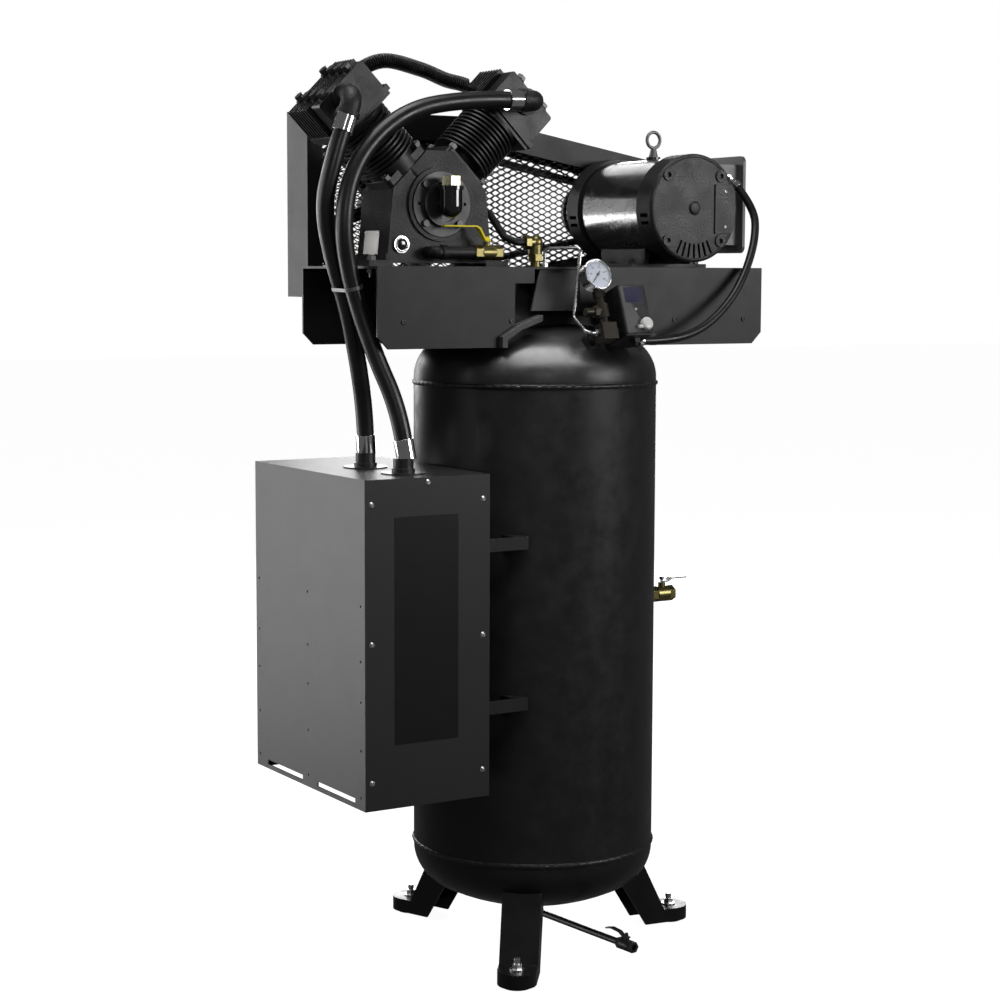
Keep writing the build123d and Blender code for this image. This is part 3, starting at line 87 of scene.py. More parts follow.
# ------------------------------------------------------------------ materials
class Nodes:
    def __init__(self, name):
        self.mat = bpy.data.materials.new(name)
        self.mat.use_nodes = True
        self.tree = self.mat.node_tree
        self.bsdf = self.tree.nodes["Principled BSDF"]
        self.coord = self.add("ShaderNodeTexCoord").outputs["Object"]

    def add(self, kind, **values):
        node = self.tree.nodes.new(kind)
        for key, value in values.items():
            setattr(node, key, value)
        return node

    def wire(self, a, b):
        self.tree.links.new(a, b)

    def noise(self, scale, detail=3.0, rough=0.55, stretch=None):
        node = self.add("ShaderNodeTexNoise")
        node.inputs["Scale"].default_value = scale
        node.inputs["Detail"].default_value = detail
        node.inputs["Roughness"].default_value = rough
        if stretch:
            mapping = self.add("ShaderNodeMapping")
            mapping.inputs["Scale"].default_value = stretch
            self.wire(self.coord, mapping.inputs["Vector"])
            self.wire(mapping.outputs["Vector"], node.inputs["Vector"])
        else:
            self.wire(self.coord, node.inputs["Vector"])
        return node.outputs["Fac"]

    def remap(self, value, a, b, c, d):
        node = self.add("ShaderNodeMapRange")
        node.inputs["From Min"].default_value = a
        node.inputs["From Max"].default_value = b
        node.inputs["To Min"].default_value = c
        node.inputs["To Max"].default_value = d
        self.wire(value, node.inputs["Value"])
        return node.outputs["Result"]

    def math(self, kind, a, b):
        node = self.add("ShaderNodeMath", operation=kind)
        for socket, value in zip(node.inputs, (a, b)):
            if isinstance(value, (int, float)):
                socket.default_value = value
            else:
                self.wire(value, socket)
        return node.outputs["Value"]

    def mix(self, factor, a, b):
        node = self.add("ShaderNodeMix", data_type="RGBA")
        for socket, value in ((node.inputs[0], factor), (node.inputs[6], a), (node.inputs[7], b)):
            if isinstance(value, (int, float, tuple)):
                socket.default_value = value
            else:
                self.wire(value, socket)
        return node.outputs[2]

    def bump(self, height, strength, distance, below=None):
        node = self.add("ShaderNodeBump")
        node.inputs["Strength"].default_value = strength
        node.inputs["Distance"].default_value = distance
        self.wire(height, node.inputs["Height"])
        if below is not None:
            self.wire(below, node.inputs["Normal"])
        return node.outputs["Normal"]


WORN_EDGE = 0.0016
DUST_COLOUR = (0.30, 0.29, 0.28, 1.0)
BLACK_PAINT = (0.006, 0.006, 0.006, 1.0)


def rgb(value, tint=(1.0, 1.0, 1.0)):
    return tuple(value * t for t in tint) + (1.0,)


def finish(name, base, rough, metallic=0.0, specular=0.5, coat=0.0, coat_rough=0.1, grain=900.0,
           grain_h=0.02, cast=0.0, cast_scale=320.0, vary=0.25, rough_vary=0.08, round_r=0.0008, wear=0.0,
           wear_colour=None, dust=0.0, brushed=None, tint=(1, 1, 1), black_below=None):
    """A surface with a slow colour drift, a fine grain, a cast or brushed relief and softened, worn edges."""
    n = Nodes(name)
    colour = tuple(base) + (1.0,) if hasattr(base, "__len__") else rgb(base, tint)
    darker = tuple(c * (1 - vary) for c in colour[:3]) + (1.0,)
    lighter = tuple(min(1.0, c * (1 + vary)) for c in colour[:3]) + (1.0,)
    drift = n.remap(n.noise(7.0, 4.0, 0.6), 0.3, 0.7, 0.0, 1.0)
    result = n.mix(drift, darker, lighter)
    speck = n.remap(n.noise(grain * 0.6, 2.0), 0.35, 0.65, 0.0, 1.0)
    result = n.mix(n.math("MULTIPLY", speck, 0.18), result, tuple(c * 1.5 for c in colour[:3]) + (1.0,))
    soft = n.add("ShaderNodeBevel", samples=4)
    soft.inputs["Radius"].default_value = round_r
    normal = soft.outputs["Normal"]
    fine = n.noise(grain, 2.0, 0.6, brushed)
    normal = n.bump(fine, 0.35, grain_h * MM * 10, normal)
    if cast:
        coarse = n.noise(cast_scale, 4.0, 0.62)
        normal = n.bump(coarse, 0.75, cast * MM, normal)
        pits = n.remap(coarse, 0.3, 0.62, 0.0, 1.0)
        result = n.mix(n.math("MULTIPLY", pits, 0.35), result, lighter)
    if wear:
        geometry = n.add("ShaderNodeNewGeometry")
        sharp = n.add("ShaderNodeBevel", samples=4)
        sharp.inputs["Radius"].default_value = WORN_EDGE
        dot = n.add("ShaderNodeVectorMath", operation="DOT_PRODUCT")
        n.wire(sharp.outputs["Normal"], dot.inputs[0])
        n.wire(geometry.outputs["True Normal"], dot.inputs[1])
        edge = n.remap(dot.outputs["Value"], 0.995, 0.90, 0.0, 1.0)
        patch = n.remap(n.noise(38.0, 4.0), 0.46, 0.62, 0.0, 1.0)
        worn = n.math("MULTIPLY", n.math("MULTIPLY", edge, patch), wear)
        bare = wear_colour or (0.22, 0.22, 0.22, 1.0)
        result = n.mix(worn, result, bare)
    if dust:
        geometry = n.add("ShaderNodeNewGeometry")
        split = n.add("ShaderNodeSeparateXYZ")
        n.wire(geometry.outputs["Normal"], split.inputs["Vector"])
        facing = n.remap(split.outputs["Z"], 0.5, 1.0, 0.0, 1.0)
        cloud = n.remap(n.noise(22.0, 5.0, 0.65), 0.40, 0.75, 0.0, 1.0)
        powder = n.math("MULTIPLY", n.math("MULTIPLY", facing, cloud), dust)
        result = n.mix(powder, result, DUST_COLOUR)
    if black_below:
        height = n.add("ShaderNodeSeparateXYZ")
        n.wire(n.coord, height.inputs["Vector"])
        result = n.mix(n.remap(height.outputs["Z"], black_below, black_below + 0.002, 0.0, 1.0),
                       BLACK_PAINT, result)
    n.wire(result, n.bsdf.inputs["Base Color"])
    patches = n.noise(24.0, 4.0, 0.6)
    n.wire(n.remap(patches, 0.3, 0.7, max(0.02, rough - rough_vary), min(1.0, rough + rough_vary)),
           n.bsdf.inputs["Roughness"])
    n.wire(normal, n.bsdf.inputs["Normal"])
    n.bsdf.inputs["Metallic"].default_value = metallic
    n.bsdf.inputs["Specular IOR Level"].default_value = specular
    n.bsdf.inputs["Coat Weight"].default_value = coat
    n.bsdf.inputs["Coat Roughness"].default_value = coat_rough
    return n.mat


MATS = {
    "tank_paint": finish("tank_paint", 0.0045, 0.36, specular=0.32, grain=700, grain_h=0.012, vary=0.2,
                         dust=0.02),
    "deck_paint": finish("deck_paint", 0.010, 0.44, specular=0.32, rough_vary=0.03, grain=700,
                         grain_h=0.012, wear=0.25, dust=0.03),
    "cabinet_paint": finish("cabinet_paint", 0.013, 0.45, specular=0.45, grain=1300, grain_h=0.014, wear=0.15,
                            vary=0.08, rough_vary=0.012, dust=0.03),
    "pump_paint": finish("pump_paint", 0.009, 0.42, specular=0.42, cast=1.7, cast_scale=240, wear=0.5,
                         dust=0.05),
    "fin_paint": finish("fin_paint", 0.008, 0.38, specular=0.40, cast=0.6, cast_scale=420, wear=0.45,
                        dust=0.05),
    "cover_paint": finish("cover_paint", 0.013, 0.36, specular=0.5, cast=0.3, cast_scale=520, wear=0.35),
    "motor_paint": finish("motor_paint", 0.012, 0.24, specular=0.6, coat=0.5, coat_rough=0.14, grain=300,
                          cast=0.10, cast_scale=90, grain_h=0.02, round_r=0.0015),
    "bell_paint": finish("bell_paint", 0.010, 0.38, specular=0.38, cast=1.2, cast_scale=250, wear=0.4,
                         round_r=0.0015),
    "box_paint": finish("box_paint", 0.075, 0.38, specular=0.5, cast=0.2, cast_scale=520, wear=0.4,
                        round_r=0.0015),
    "guard_paint": finish("guard_paint", 0.008, 0.44, specular=0.30, rough_vary=0.03, grain=900, wear=0.2,
                          dust=0.04),
    "hose_rubber": finish("hose_rubber", 0.0075, 0.34, specular=0.42, grain=500, grain_h=0.03, vary=0.15,
                          tint=(1, 1, 1.06)),
    "belt_rubber": finish("belt_rubber", 0.012, 0.75, specular=0.3, grain=800, grain_h=0.06),
    "pad_rubber": finish("pad_rubber", 0.012, 0.7, specular=0.3, grain=700, grain_h=0.06, dust=0.1),
    "black_plastic": finish("black_plastic", 0.009, 0.38, specular=0.45, grain=1200, grain_h=0.03),
    "gloss_black": finish("gloss_black", 0.006, 0.10, specular=0.6, coat=0.7, coat_rough=0.05, grain=300),
    "zinc": finish("zinc", (0.55, 0.55, 0.56), 0.28, metallic=1.0, grain=900, wear=0.2,
                   wear_colour=(0.75, 0.75, 0.76, 1)),
    "dark_steel": finish("dark_steel", (0.07, 0.07, 0.072), 0.38, metallic=0.7, grain=900, wear=0.5),
    "steel": finish("steel", (0.50, 0.50, 0.51), 0.27, metallic=1.0, grain=400, brushed=(1, 1, 12)),
    "grey_iron": finish("grey_iron", (0.17, 0.17, 0.175), 0.42, metallic=0.75, cast=0.25, cast_scale=600),
    "chrome": finish("chrome", (0.78, 0.78, 0.79), 0.10, metallic=1.0, grain=300, grain_h=0.006, vary=0.06,
                     rough_vary=0.04),
    "brass": finish("brass", (0.21, 0.18, 0.075), 0.36, metallic=1.0, grain=600, vary=0.25, cast=0.06),
    "pale_brass": finish("pale_brass", (0.50, 0.47, 0.32), 0.28, metallic=1.0, grain=600, vary=0.12),
    "brass_column": finish("brass_column", (0.21, 0.18, 0.075), 0.36, metallic=1.0, grain=600, vary=0.25,
                           cast=0.06, black_below=1.425),
    "black_metal": finish("black_metal", (0.018, 0.018, 0.018), 0.36, metallic=0.3, grain=800, cast=0.12,
                          wear=0.5),
    "bronze": finish("bronze", (0.030, 0.026, 0.020), 0.40, metallic=0.6, grain=600, cast=0.15, wear=0.4,
                     wear_colour=(0.35, 0.27, 0.16, 1)),
    "yellow_grip": finish("yellow_grip", (1.0, 0.80, 0.010), 0.5, specular=0.25, grain=900, vary=0.08),
    "white_plastic": finish("white_plastic", (0.66, 0.66, 0.65), 0.34, coat=0.2, grain=900, vary=0.05),
    "cast_iron": finish("cast_iron", (0.10, 0.10, 0.105), 0.5, metallic=0.6, cast=0.35),
    "copper": finish("copper", (0.45, 0.20, 0.09), 0.4, metallic=0.9, grain=900, brushed=(30, 1, 1)),
    "filter_paper": finish("filter_paper", (0.48, 0.43, 0.32), 0.85, grain=900, grain_h=0.1),
    "decal_dark": finish("decal_dark", (0.015, 0.017, 0.025), 0.5, grain=900, vary=0.1),
    "panel_film": finish("panel_film", 0.0045, 0.34, specular=0.35, grain=1200, vary=0.06, rough_vary=0.01),
    "plate_tin": finish("plate_tin", (0.15, 0.145, 0.135), 0.42, metallic=0.4, grain=700,
                        brushed=(1, 14, 1), vary=0.1),
    "dial_white": finish("dial_white", (0.62, 0.66, 0.76), 0.5, grain=900, vary=0.04),
    "label_navy": finish("label_navy", (0.016, 0.014, 0.045), 0.35, grain=900, vary=0.15, coat=0.3),
    "switch_lid": finish("switch_lid", 0.085, 0.40, specular=0.5, grain=1400, grain_h=0.03, vary=0.1),
    "weld": finish("weld", 0.009, 0.40, specular=0.4, cast=0.5, cast_scale=260, wear=0.2),
}

lens = Nodes("lens")
lens.bsdf.inputs["Roughness"].default_value = 0.03
haze = lens.remap(lens.noise(60.0), 0.3, 0.7, 0.0, 1.0)
lens.wire(lens.mix(haze, (0.9, 0.93, 0.95, 1), (0.95, 0.97, 1.0, 1)), lens.bsdf.inputs["Base Color"])
lens.wire(lens.bump(lens.noise(12.0), 0.1, 0.0002), lens.bsdf.inputs["Normal"])
lens.bsdf.inputs["Alpha"].default_value = 0.10
MATS["lens"] = lens.mat

DRESS = {
    "tank_paint": ["tank_shell", "tank_legs"],
    "deck_paint": ["deck_plate", "deck_saddle", "silencer_arms"],
    "cabinet_paint": ["silencer_cabinet", "silencer_cover"],
    "pump_paint": ["crankcase", "intake_elbows", "oil_drain_pipe", "discharge_tube"],
    "cover_paint": ["bearing_covers", "silencer_ports"],
    "fin_paint": ["cylinders", "head_left", "head_right", "valve_plates", "intercooler_tube", "flywheel"],
    "motor_paint": ["motor_shell"],
    "bell_paint": ["motor_end_bells", "motor_base"],
    "box_paint": ["conduit_box"],
    "guard_paint": ["guard_frame", "guard_mesh"],
    "hose_rubber": ["intake_hose_right", "intake_hose_left", "motor_conduit"],
    "belt_rubber": ["v_belts"],
    "pad_rubber": ["foot_pads"],
    "black_plastic": ["switch_case"],
    "gloss_black": ["oil_fill_cup"],
    "zinc": ["foot_studs", "silencer_screws", "unloader_tube"],
    "dark_steel": ["machine_bolts", "gauge_needle"],
    "steel": ["crankshaft", "shaft_bearings", "outlet_lever", "motor_rotor"],
    "black_metal": ["drain_pipe", "drain_valve", "drain_lever"],
    "brass_column": ["discharge_elbow"],
    "grey_iron": ["lifting_eye", "motor_pulley", "hose_tie"],
    "chrome": ["sight_glass", "hose_ferrules", "conduit_glands", "pressure_gauge"],
    "brass": ["ball_valves"],
    "pale_brass": ["oil_fill_plug"],
    "bronze": ["control_manifold"],
    "yellow_grip": ["oil_drain_lever"],
    "white_plastic": ["switch_knob"],
    "cast_iron": ["pistons_rods"],
    "copper": ["motor_stator"],
    "filter_paper": ["filter_elements"],
}


def dress(obj, mat):
    obj.data.materials.clear()
    obj.data.materials.append(MATS[mat])


for mat, names in DRESS.items():
    for name in names:
        dress(nodes[name], mat)


# ------------------------------------------------------------------ mesh tools
def piece(name, bm, mat, body="compressor", smooth=True):
    mesh = bpy.data.meshes.new(name)
    bmesh.ops.recalc_face_normals(bm, faces=bm.faces)
    bm.to_mesh(mesh)
    bm.free()
    obj = link(bpy.data.objects.new(name, mesh))
    obj.data.materials.append(MATS[mat])
    if smooth:
        mesh.polygons.foreach_set("use_smooth", [True] * len(mesh.polygons))
    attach(obj, body)
    return obj


def bevel(obj, width, segments=2, angle=35):
    mod = obj.modifiers.new("bevel", "BEVEL")
    mod.width = width
    mod.segments = segments
    mod.limit_method = "ANGLE"
    mod.angle_limit = math.radians(angle)
    mod.harden_normals = True
    return obj


def frame_at(at, x_dir, z_dir):
    z = Vector(z_dir).normalized()
    x = Vector(x_dir)
    x = (x - z * x.dot(z)).normalized()
    y = z.cross(x)
    out = Matrix((x, y, z)).transposed().to_4x4()
    out.translation = Vector(at) * MM
    return out


def prism(bm, place, outline, z0, z1):
    low = [bm.verts.new(place @ (Vector((x, y, z0)) * MM)) for x, y in outline]
    high = [bm.verts.new(place @ (Vector((x, y, z1)) * MM)) for x, y in outline]
    bm.faces.new(low[::-1])
    bm.faces.new(high)
    for i in range(len(outline)):
        j = (i + 1) % len(outline)
        bm.faces.new((low[i], low[j], high[j], high[i]))


def rounded(w, h, r, steps=5):
    out = []
    for cx, cy, start in ((w - r, h - r, 0), (r, h - r, 90), (r, r, 180), (w - r, r, 270)):
        for i in range(steps + 1):
            turn = math.radians(start + 90 * i / steps)
            out.append((cx + r * math.cos(turn) - w / 2, cy + r * math.sin(turn) - h / 2))
    return out


def circle(r, steps=32, cx=0.0, cy=0.0):
    return [(cx + r * math.cos(2 * math.pi * i / steps), cy + r * math.sin(2 * math.pi * i / steps))
            for i in range(steps)]


def lathe(bm, place, profile, steps=48):
    rings = []
    for r, z in profile:
        rings.append([bm.verts.new(place @ (Vector((r * math.cos(2 * math.pi * i / steps),
                                                    r * math.sin(2 * math.pi * i / steps), z)) * MM))
                      for i in range(steps)])
    for a, b in zip(rings, rings[1:]):
        for i in range(steps):
            j = (i + 1) % steps
            bm.faces.new((a[i], a[j], b[j], b[i]))
    return rings


def bridge(bm, previous, section):
    """Joins two closed sections with a ring of faces."""
    for a in range(len(section)):
        b = (a + 1) % len(section)
        bm.faces.new((previous[a], previous[b], section[b], section[a]))


# ------------------------------------------------------------------ cords
def spline_curve(name, points, radius, mat):
    curve = bpy.data.curves.new(name, "CURVE")
    curve.dimensions = "3D"
    spline = curve.splines.new("NURBS")
    spline.points.add(len(points) - 1)
    for point, (x, y, z) in zip(spline.points, points):
        point.co = (x * MM, y * MM, z * MM, 1.0)
    spline.order_u = 3
    spline.use_endpoint_u = True
    spline.resolution_u = 16
    curve.bevel_depth = radius * MM
    curve.bevel_resolution = 8
    curve.use_fill_caps = True
    obj = link(bpy.data.objects.new(name, curve))
    curve.materials.append(MATS[mat])
    return obj


DIAG = math.sqrt(0.5)
PUMP = (-256.0, 0.0, 1557.0)
MOTOR = (282.0, 0.0, 1556.0)
ELBOW_WAY = {"left": unit(-0.33, 0, -0.944), "right": unit(-0.998, -0.06, -0.03)}
ELBOW_CORNER = {"left": (-475.0, -96.0, 1760.0), "right": (-44.0, -74.0, 1769.0)}
hose_start = {side: along(ELBOW_CORNER[side], ELBOW_WAY[side], 43 + 32) for side in ELBOW_WAY}
hose_turn = {"left": along(hose_start["left"], ELBOW_WAY["left"], 62),
             "right": along(hose_start["right"], ELBOW_WAY["right"], 98)}
HOSE_RIGHT = [
    hose_start["right"], hose_turn["right"], (-365, -97, 1735), (-478, -109, 1640), (-515, -121, 1520),
    (-489, -108, 1400), (-449, -128, 1265), (-411, -155, 1160), (-403, -162, 1098),
]
HOSE_LEFT = [
    hose_start["left"], hose_turn["left"], (-535, -83, 1545), (-508, -71, 1445), (-473, -64, 1355),
    (-438, -38, 1250), (-411, -14, 1156), (-406, -10, 1098),
]
HOSE_R = 17.5
CONDUIT_R = 8.5
for name, points, length in (("hose_right", HOSE_RIGHT, 0.9574), ("hose_left", HOSE_LEFT, 0.6217)):
    hose = spline_curve(name, points, HOSE_R, "hose_rubber")
    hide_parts("intake_" + name)
    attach(hose, "compressor")

GLAND_WAY = unit(0.345, -0.545, -0.764)
gland_corner = (443.0, -86.0, 1622.0)
conduit_start = along(gland_corner, GLAND_WAY, 22)
SWITCH = (27.0, -300.0, 1300.0)
TILT_UP = (0, 0.352, 0.936)
TILT_BACK = (0, 0.936, -0.352)
TILT_FRONT = (0, -0.936, 0.352)


def on_switch(x, y, z):
    spot = along(SWITCH, TILT_BACK, y)
    spot = along(spot, TILT_UP, z)
    return (spot[0] + x, spot[1], spot[2])


conduit_end = along(on_switch(66, 60, 6), (1, 0, 0), 12)
CONDUIT = [
    conduit_start, along(conduit_start, GLAND_WAY, 59), (457, -155, 1500), (412, -183, 1428),
    (352, -207, 1362), (268, -228, 1307), along(conduit_end, (1, 0, 0), 74), conduit_end,
]
conduit = spline_curve("conduit", CONDUIT, CONDUIT_R, "hose_rubber")
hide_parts("motor_conduit")
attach(conduit, "compressor")

# ------------------------------------------------------------------ expanded metal of the belt guard
LONG_WAY = 30.0
SHORT_WAY = 12.7
STRAND = 1.15
BOND = 3.2
STRAND_HALF_T = 0.9
STRAND_LEAN = 0.75
SHAFT_HOLE_R = 46.0
SHEET_INSET = 1.6
WINDOW_X = (-416.0, 382.0)
WINDOW_Z = (1398, 1703)
KNEE_LOW = (-92, 1464)
KNEE_HIGH = (-38, 1630)
GRID_X0 = -430
GRID_RUN = 830


def guard_span(z):
    """The window's width at a height: square at the pump's end, tapered above and below the motor."""
    x0, x1 = WINDOW_X
    if z < KNEE_LOW[1]:
        return x0, KNEE_LOW[0] + (z - WINDOW_Z[0]) / (KNEE_LOW[1] - WINDOW_Z[0]) * (x1 - KNEE_LOW[0])
    if z > KNEE_HIGH[1]:
        return x0, x1 - (z - KNEE_HIGH[1]) / (WINDOW_Z[1] - KNEE_HIGH[1]) * (x1 - KNEE_HIGH[0])
    return x0, x1


def expanded(name, y, holes, shift=(0.0, 0.0)):
    bm = bmesh.new()
    rows = int((WINDOW_Z[1] - WINDOW_Z[0]) / (SHORT_WAY / 2))
    for i in range(rows + 1):
        z_mid = WINDOW_Z[0] + shift[1] + i * SHORT_WAY / 2
        x0, x1 = guard_span(z_mid)
        line = []
        for k in range(int(GRID_RUN / (LONG_WAY / 2))):
            x_mid = GRID_X0 + shift[0] + k * LONG_WAY / 2
            high = 1 if (k + i) % 2 == 0 else -1
            for end in (-1, 1):
                line.append((x_mid + end * BOND, z_mid + high * (SHORT_WAY / 4 - 0.3), high))
        previous = None
        for x, z, high in line:
            clear = all(math.hypot(x - hx, z - hz) > r for hx, hz, r in holes)
            if not (x0 <= x <= x1 and WINDOW_Z[0] <= z <= WINDOW_Z[1] and clear):
                previous = None
                continue
            lean = STRAND_LEAN * high
            section = [bm.verts.new(mm(x, y - STRAND_HALF_T + lean, z - STRAND)),
                       bm.verts.new(mm(x, y + STRAND_HALF_T + lean, z - STRAND)),
                       bm.verts.new(mm(x, y + STRAND_HALF_T - lean, z + STRAND)),
                       bm.verts.new(mm(x, y - STRAND_HALF_T - lean, z + STRAND))]
            if previous:
                bridge(bm, previous, section)
            previous = section
    return piece(name, bm, "guard_paint", smooth=False)


low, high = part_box("guard_mesh")
shaft_holes = [(PUMP[0], PUMP[2], SHAFT_HOLE_R), (MOTOR[0], MOTOR[2], SHAFT_HOLE_R)]
mesh_front = expanded("guard_mesh_front", low.y / MM + SHEET_INSET, shaft_holes)
expanded("guard_mesh_back", high.y / MM - SHEET_INSET, [], (-6.0, 3.0))
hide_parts("guard_mesh")

# ------------------------------------------------------------------ finned intercooler tube
TUBE_R = 9.2
TUBE_SIDES = 24
END_PULL = 62
FIN_PITCH = 5.0
FIN_STEPS = 22
FIN_ROOT_R = 9.0
FIN_TIP_R = 15.3
FIN_ROOT_HALF_T = 0.5
FIN_TIP_HALF_T = 0.3
BARE_END = 17
IC = [(-403.1, 40, 1810.1), (-338, 40, 1842), (-254, 40, 1830), (-196, 40, 1812), (-126.6, 40, 1792.5)]


def hermite(points, first, last, count):
    tangents = []
    for i, p in enumerate(points):
        if i == 0:
            tangents.append(Vector(first) * END_PULL)
        elif i == len(points) - 1:
            tangents.append(Vector(last) * END_PULL)
        else:
            tangents.append((Vector(points[i + 1]) - Vector(points[i - 1])) / 2)
    out = []
    for i in range(len(points) - 1):
        a, b = Vector(points[i]), Vector(points[i + 1])
        ta, tb = tangents[i], tangents[i + 1]
        for k in range(count):
            t = k / count
            out.append(a * (2 * t ** 3 - 3 * t ** 2 + 1) + ta * (t ** 3 - 2 * t ** 2 + t)
                       + b * (-2 * t ** 3 + 3 * t ** 2) + tb * (t ** 3 - t ** 2))
    out.append(Vector(points[-1]))
    return out


ic_line = hermite(IC, (DIAG, 0, DIAG), (DIAG, 0, -DIAG), 40)
bm = bmesh.new()
previous = None
side = Vector((0, 1, 0))
for i, p in enumerate(ic_line):
    ahead = ic_line[min(i + 1, len(ic_line) - 1)] - ic_line[max(i - 1, 0)]
    ahead.normalize()
    across = side.cross(ahead).normalized()
    section = [bm.verts.new((p + (side * math.cos(a) + across * math.sin(a)) * TUBE_R) * MM)
               for a in (2 * math.pi * k / TUBE_SIDES for k in range(TUBE_SIDES))]
    if previous:
        bridge(bm, previous, section)
    previous = section
travel = [0.0]
for a, b in zip(ic_line, ic_line[1:]):
    travel.append(travel[-1] + (b - a).length)
turns = int((travel[-1] - 2 * BARE_END) / FIN_PITCH)
previous = None
j = 0
for k in range(turns * FIN_STEPS):
    s = BARE_END + k * FIN_PITCH / FIN_STEPS
    while travel[j + 1] < s:
        j += 1
    t = (s - travel[j]) / (travel[j + 1] - travel[j])
    p = ic_line[j].lerp(ic_line[j + 1], t)
    ahead = (ic_line[j + 1] - ic_line[j]).normalized()
    across = side.cross(ahead).normalized()
    a = 2 * math.pi * k / FIN_STEPS
    out = side * math.cos(a) + across * math.sin(a)
    reach = FIN_TIP_R + 0.25 * math.sin(k * 1.7)
    section = [bm.verts.new((p + out * FIN_ROOT_R - ahead * FIN_ROOT_HALF_T) * MM),
               bm.verts.new((p + out * reach - ahead * FIN_TIP_HALF_T) * MM),
               bm.verts.new((p + out * reach + ahead * FIN_TIP_HALF_T) * MM),
               bm.verts.new((p + out * FIN_ROOT_R + ahead * FIN_ROOT_HALF_T) * MM)]
    if previous:
        bridge(bm, previous, section)
    previous = section
cooler = piece("intercooler_finned", bm, "fin_paint", smooth=False)
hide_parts("intercooler_tube")

# ------------------------------------------------------------------ weld beads
SEAM_R = 253.6
SEAM_Z = (223.0, 1195.0)


def bead_ring(bm, radius, z, height, width, ripple):
    steps = 720
    shape = [(-0.5, 0.0), (-0.3, 0.75), (0.0, 1.0), (0.3, 0.75), (0.5, 0.0)]
    rings = []
    for i in range(steps):
        a = 2 * math.pi * i / steps
        wander = noise.noise(Vector((math.cos(a), math.sin(a), z)) * 9)
        swell = 1 + ripple * math.sin(a * radius / 3.2) + 0.25 * wander
        row = []
        for across, tall in shape:
            r = radius + height * tall * swell
            row.append(bm.verts.new(mm(r * math.cos(a), r * math.sin(a), z + across * width)))
        rings.append(row)
    for i in range(steps):
        a, b = rings[i], rings[(i + 1) % steps]
        for k in range(len(shape) - 1):
            bm.faces.new((a[k], b[k], b[k + 1], a[k + 1]))


bm = bmesh.new()
for seam_z in SEAM_Z:
    bead_ring(bm, SEAM_R, seam_z, 3.6, 11.0, 0.12)
piece("seam_welds", bm, "weld")

# ------------------------------------------------------------------ plain panel on the silencer cover
low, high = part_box("silencer_cover")
panel_place = Matrix(((1, 0, 0, 0), (0, 0, -1, low.y), (0, 1, 0, 0), (0, 0, 0, 1)))
PANEL_X = -402.0
PANEL_Z = 739.0
PANEL_W = 140
PANEL_H = 440
bm = bmesh.new()
prism(bm, panel_place, [(x + PANEL_X, z + PANEL_Z) for x, z in rounded(PANEL_W, PANEL_H, 4)], 0.02, 0.45)
piece("cover_panel", bm, "panel_film", smooth=False)

# ------------------------------------------------------------------ blank plate on the crankcase
plate_place = frame_at((-373.2, 24, 1477), (0, -1, 0), (-0.9948, 0, 0.1017))
bm = bmesh.new()
prism(bm, plate_place, rounded(62, 54, 3), 0.0, 1.0)
bevel(piece("case_plate", bm, "plate_tin", smooth=False), 0.0003)
bm = bmesh.new()
for x, y in ((-27, -23), (27, -23), (-27, 23), (27, 23)):
    lathe(bm, plate_place @ Matrix.Translation(Vector((x, y, 1.0)) * MM),
          [(2.4, 0.0), (2.2, 0.6), (1.4, 1.1), (0.0, 1.3)], 16)
piece("case_plate_rivets", bm, "zinc")

# ------------------------------------------------------------------ oil seen in the sight glass
low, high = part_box("sight_glass")
sight = (low + high) / 2
sight_place = frame_at((sight.x / MM, low.y / MM, sight.z / MM), (1, 0, 0), (0, -1, 0))
bm = bmesh.new()
lathe(bm, sight_place, [(11.0, 0.1), (10.6, 0.5), (6.0, 1.3), (0.01, 1.6)], 48)
piece("sight_oil", bm, "gloss_black")
bm = bmesh.new()
lathe(bm, sight_place, [(11.0, 0.1), (11.4, 1.6), (12.6, 2.0), (14.2, 1.4), (14.8, 0.1)], 48)
piece("sight_ring", bm, "chrome")

# ------------------------------------------------------------------ pressure gauge face
GAUGE_MID = (0.0, -225.0, 1415.0)
ZERO_DEG = 228
SWEEP_DEG = 264
TICKS = 50
NUMBERS = 5
NUMBER_STEP = 40
NUMBER_R = 16
DIAL_R = 28.6
dial_at = along(GAUGE_MID, TILT_FRONT, 9)
dial_place = frame_at(dial_at, (1, 0, 0), TILT_FRONT)
bm = bmesh.new()
ring = [bm.verts.new(dial_place @ (Vector((x, y, 0.15)) * MM)) for x, y in circle(DIAL_R, 64)]
hub = [bm.verts.new(dial_place @ (Vector((x, y, 0.15)) * MM)) for x, y in circle(1.6, 64)]
for i in range(64):
    j = (i + 1) % 64
    bm.faces.new((hub[i], hub[j], ring[j], ring[i]))
piece("gauge_dial", bm, "dial_white", smooth=False)
bm = bmesh.new()
for i in range(TICKS + 1):
    a = math.radians(ZERO_DEG - SWEEP_DEG * i / TICKS)
    major = i % 10 == 0
    r0, r1, half = (20.0, 25.5, 0.45) if major else (23.2, 25.5, 0.18)
    quad = []
    for r, side_way in ((r0, -1), (r1, -1), (r1, 1), (r0, 1)):
        x = r * math.cos(a) - side_way * half * math.sin(a)
        y = r * math.sin(a) + side_way * half * math.cos(a)
        quad.append(bm.verts.new(dial_place @ (Vector((x, y, 0.3)) * MM)))
    bm.faces.new(quad)
piece("gauge_ticks", bm, "decal_dark", smooth=False)
